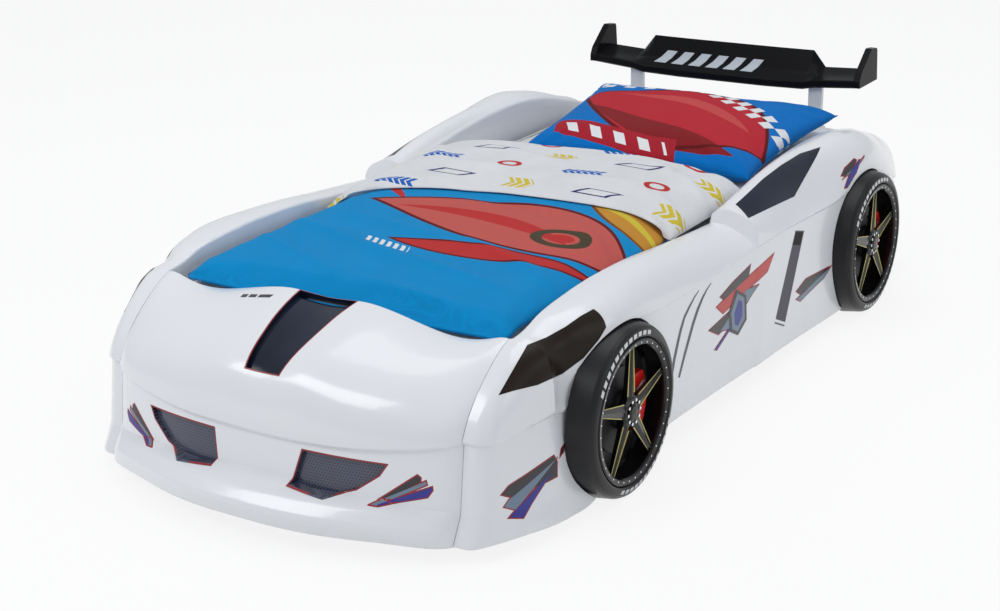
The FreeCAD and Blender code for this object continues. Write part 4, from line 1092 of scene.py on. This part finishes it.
slashes_and_vent_shadow = ribbon(590, [(-252, 343, 1.2), (-274, 334, 2.5), (-301, 319, 4), (-327, 302, 5),
                       (-347, 277, 6), (-363, 250, 6.5), (-380, 218, 6.5), (-394, 182, 6)])
slashes_and_vent_shadow += ribbon(590, [(-186, 341, 1.2), (-208, 333, 2.5), (-233, 319, 4.5), (-259, 297, 6),
                        (-281, 273, 6.5), (-302, 245, 6.5), (-325, 213, 6), (-357, 165, 5)])
# Painted shadow: a thin slate line where the foot of the door vent throws a shadow on the door.
slashes_and_vent_shadow.append([(600, 170, 130), (600, 228, 103), (601, 226, 99), (600, 168, 126)])
corner_bars = {"dark": [[(526, -1021, 134), (530, -1002, 145), (561, -872, 168),
                         (564, -865, 152), (567, -870, 122), (535, -993, 118)],
                        [(564, -850, 160), (563, -844, 173), (563, -830, 178),
                         (564, -837, 165)]],
               "steel": [[(529, -1018, 106), (532, -1005, 116), (563, -867, 159),
                          (539, -990, 90)]],
               "blue": [[(535, -1010, 80), (539, -990, 89), (564, -867, 149),
                         (549, -977, 69)]]}
bumper_bars = {"dark": [[(306, -1137, 121), (381, -1108, 179), (387, -1106, 174),
                         (387, -1108, 165), (315, -1137, 119)]],
               "steel": [[(295, -1155, 114), (398, -1104, 168), (400, -1104, 161),
                          (309, -1151, 113)]],
               "blue": [[(307, -1151, 114), (410, -1100, 156), (411, -1101, 150),
                         (402, -1106, 135), (311, -1151, 113)]]}
flank, nose = skins["side_panel_left"], skins["front_panel"]
edge_width, edge_lift = 0.0028, 0.25
sheets = [("side_edge", flank, side_dark + side_steel + side_blue + side_red, OUTWARD, edge_lift,
           "edge", edge_width),
          ("side_red", flank, side_red, OUTWARD, 0.45, "red", 0),
          ("side_dark", flank, side_dark, OUTWARD, 0.6, "dark", 0),
          ("side_steel", flank, side_steel, OUTWARD, 0.75, "steel", 0),
          ("side_blue", flank, side_blue, OUTWARD, 0.9, "blue", 0),
          ("badge_outer", flank, badge[:1], OUTWARD, 1.1, "dark", 0),
          ("badge_middle", flank, badge[1:2], OUTWARD, 1.3, "steel", 0),
          ("badge_inner", flank, badge[2:], OUTWARD, 1.5, "blue", 0),
          ("side_slashes_and_vent_shadow", flank, slashes_and_vent_shadow, OUTWARD, 0.4, "slate", 0)]
for spot, panel, groups, way in (("corner", flank, corner_bars, ROUND_CORNER),
                                 ("bumper", nose, bumper_bars, AHEAD)):
    every = [outline for outlines in groups.values() for outline in outlines]
    sheets.append((spot + "_edge", panel, every, way, edge_lift, "edge", edge_width))
    for layer, (ink, outlines) in enumerate(groups.items()):
        sheets.append((spot + "_" + ink, panel, outlines, way, 0.45 + 0.15 * layer, ink, 0))
for label, panel, outlines, way, lift, ink, grow in sheets:
    left_one = lay("sticker_%s_left" % label, panel, outlines, way, lift, *INKS[ink], grow=grow)
    other_side(left_one, "sticker_%s_right" % label)
hood_bars = [[(-205, -929, 405), (-208, -915, 407), (-191, -915, 410), (-189, -929, 408)],
             [(-183, -929, 409), (-185, -915, 411), (-164, -916, 414), (-162, -929, 412)],
             [(-156, -929, 413), (-158, -916, 415), (-122, -913, 420), (-124, -926, 417)]]
lay("sticker_hood", nose, hood_bars, HOOD_WAY, 0.3, *INKS["dark"])
vent_head = lay("vent_head_left", nodes["side_vent_left"],
                [[(600, 298, 335), (600, 352, 320), (600, 330, 283), (600, 276, 299)]], OUTWARD,
                0.15, wing_black, "vent_dark", grow=-0.004)
other_side(vent_head, "vent_head_right")
bar_pitch, first_bar = 58, -235
wing_bars = [[(first_bar + start + k * bar_pitch, y, z)
              for start, y, z in ((0, 1126, 531), (30, 1160, 566), (63, 1160, 566),
                                  (39, 1126, 531))] for k in range(6)]
lay("sticker_wing", skins["spoiler_wing"], wing_bars, (0, -0.7, 0.7), 0.3, *INKS["chrome"])
print("stickers", len(sheets) * 2 + 2)

# %% [markdown]
# A thin red pinstripe runs round the dark insert in the hood and round both air intakes. It is
# a ring of narrow bands, one for each straight side of the opening, laid on the insert's rim.


# %% Pinstripes
def pinstripe(name, panel, outline, way, inset=0.5, width=2.7):
    """Bands inside an outline, from inset to inset + width millimetres in from its sides."""
    normal = Vector(way).normalized()
    points = [Vector(p) for p in outline]

    def moved_in(depth):
        inner = []
        for before, here, after in zip(points[-1:] + points[:-1], points, points[1:] + points[:1]):
            one = (here - before).cross(normal).normalized()
            two = (after - here).cross(normal).normalized()
            inner.append(here - (one + two) * (depth / (1 + one.dot(two))))
        return inner

    middle = sum(points, Vector()) / len(points)
    side = 1 if (points[1] - points[0]).cross(normal).dot(points[0] - middle) > 0 else -1
    outer, inner = moved_in(inset * side), moved_in((inset + width) * side)
    count = len(points)
    bands = [[outer[i], outer[(i + 1) % count], inner[(i + 1) % count], inner[i]]
             for i in range(count)]
    return lay(name, panel, bands, way, edge_lift, *INKS["edge"])


hood_outline = [(-80, -872, 424), (80, -872, 424), (68, -985, 396), (47, -1118, 335),
                (-47, -1118, 335), (-68, -985, 396)]
intake_outline = [(118, -1160, 196), (317, -1090, 193), (300, -1100, 165), (250, -1110, 128),
                  (189, -1128, 108), (96, -1150, 118)]
pinstripe("pinstripe_hood", skins["hood_insert"], hood_outline, HOOD_WAY)
stripe = pinstripe("pinstripe_intake_left", nodes["intake_grille_left"], intake_outline,
                   (0.12, -1, 0.1))
other_side(stripe, "pinstripe_intake_right")
print("pinstripes ready")

# %% [markdown]
# The wheels are fixed mouldings dressed as racing wheels. Two gilt lines edge every spoke, small
# plated rivets dot the rim's lip, and short white dashes run in two arcs round the side wall.

# %% Wheel trim
WHEELS = {"front": (0.629, -0.635), "rear": (0.659, 0.722)}  # the outer face's x, the axle's y
wheel_z = 0.19


def on_wheel(face_x, y, radius, angle, depth, aside=0.0):
    """A point on a wheel: radius and angle from straight up, aside is across a spoke."""
    flat_y = radius * math.sin(angle) + aside * math.cos(angle)
    flat_z = radius * math.cos(angle) - aside * math.sin(angle)
    return Vector((face_x - depth, y + flat_y, wheel_z + flat_z))


def gilt_lines(name, face_x, y, spokes=5, steps=5):
    """Two lines along each spoke, which draw together and grow thin towards the rim."""
    routes = []
    for k in range(spokes):
        for side in (-1, 1):
            route = []
            for share in (step / steps for step in range(steps + 1)):
                radius = 0.040 + 0.106 * share
                along = (radius - 0.024) / 0.127
                half, depth = 0.017 - 0.009 * along, 0.014 - 0.002 * along
                at = on_wheel(face_x, y, radius, math.radians(360 / spokes * k), depth - 0.0006,
                              side * half * 0.96)
                route.append((*at, 1.0 - 0.5 * share))
            routes.append(route)
    return cords(name, routes, 0.0016, 1)


def rivet_ring(name, face_x, y, count=36, bead=0.0022, ring_radius=0.1545):
    """One flattened bead on the lip, repeated round the axle."""
    deselect()
    bpy.ops.object.empty_add(rotation=(2 * math.pi / count, 0, 0))
    turn = bpy.context.object
    deselect()
    bpy.ops.mesh.primitive_uv_sphere_add(segments=8, ring_count=5, radius=bead,
                                         location=(0, 0, ring_radius))
    made = bpy.context.object
    made.name = name
    made.scale.x = 0.6
    bpy.ops.object.transform_apply()
    modify(made, "ARRAY", use_relative_offset=False, use_object_offset=True, offset_object=turn,
           count=count)
    bpy.data.objects.remove(turn)
    made.location = (face_x - bead, y, wheel_z)
    bpy.ops.object.transform_apply()
    bpy.ops.object.shade_smooth()
    return made


def dash_outlines(face_x, y):
    """Slanted bars in two arcs of the side wall."""
    outlines = []
    for first, last, count in ((-60, 24, 12), (114, 204, 13)):
        pitch = (last - first) / count
        for k in range(count):
            corners = ((0.1715, 0.0), (0.1715, 0.66), (0.1805, 0.80), (0.1805, 0.14))
            outlines.append([on_wheel(face_x, y, radius,
                                      math.radians(first + pitch * (k + share)), 0.0) * 1000
                             for radius, share in corners])
    return outlines


for axle, (face_x, y) in WHEELS.items():
    for kind, make, material in (("gilt", gilt_lines, gold_edge), ("rivets", rivet_ring, silver)):
        trim = wear(make("%s_%s_left" % (kind, axle), face_x, y), material, "bed", "silver_trim")
        other_side(trim, "%s_%s_right" % (kind, axle))
    dashes = lay("dashes_%s_left" % axle, nodes["tyre_%s_left" % axle], dash_outlines(face_x, y),
                 OUTWARD, 0.3, *INKS["white"])
    other_side(dashes, "dashes_%s_right" % axle)
print("wheel trim ready")
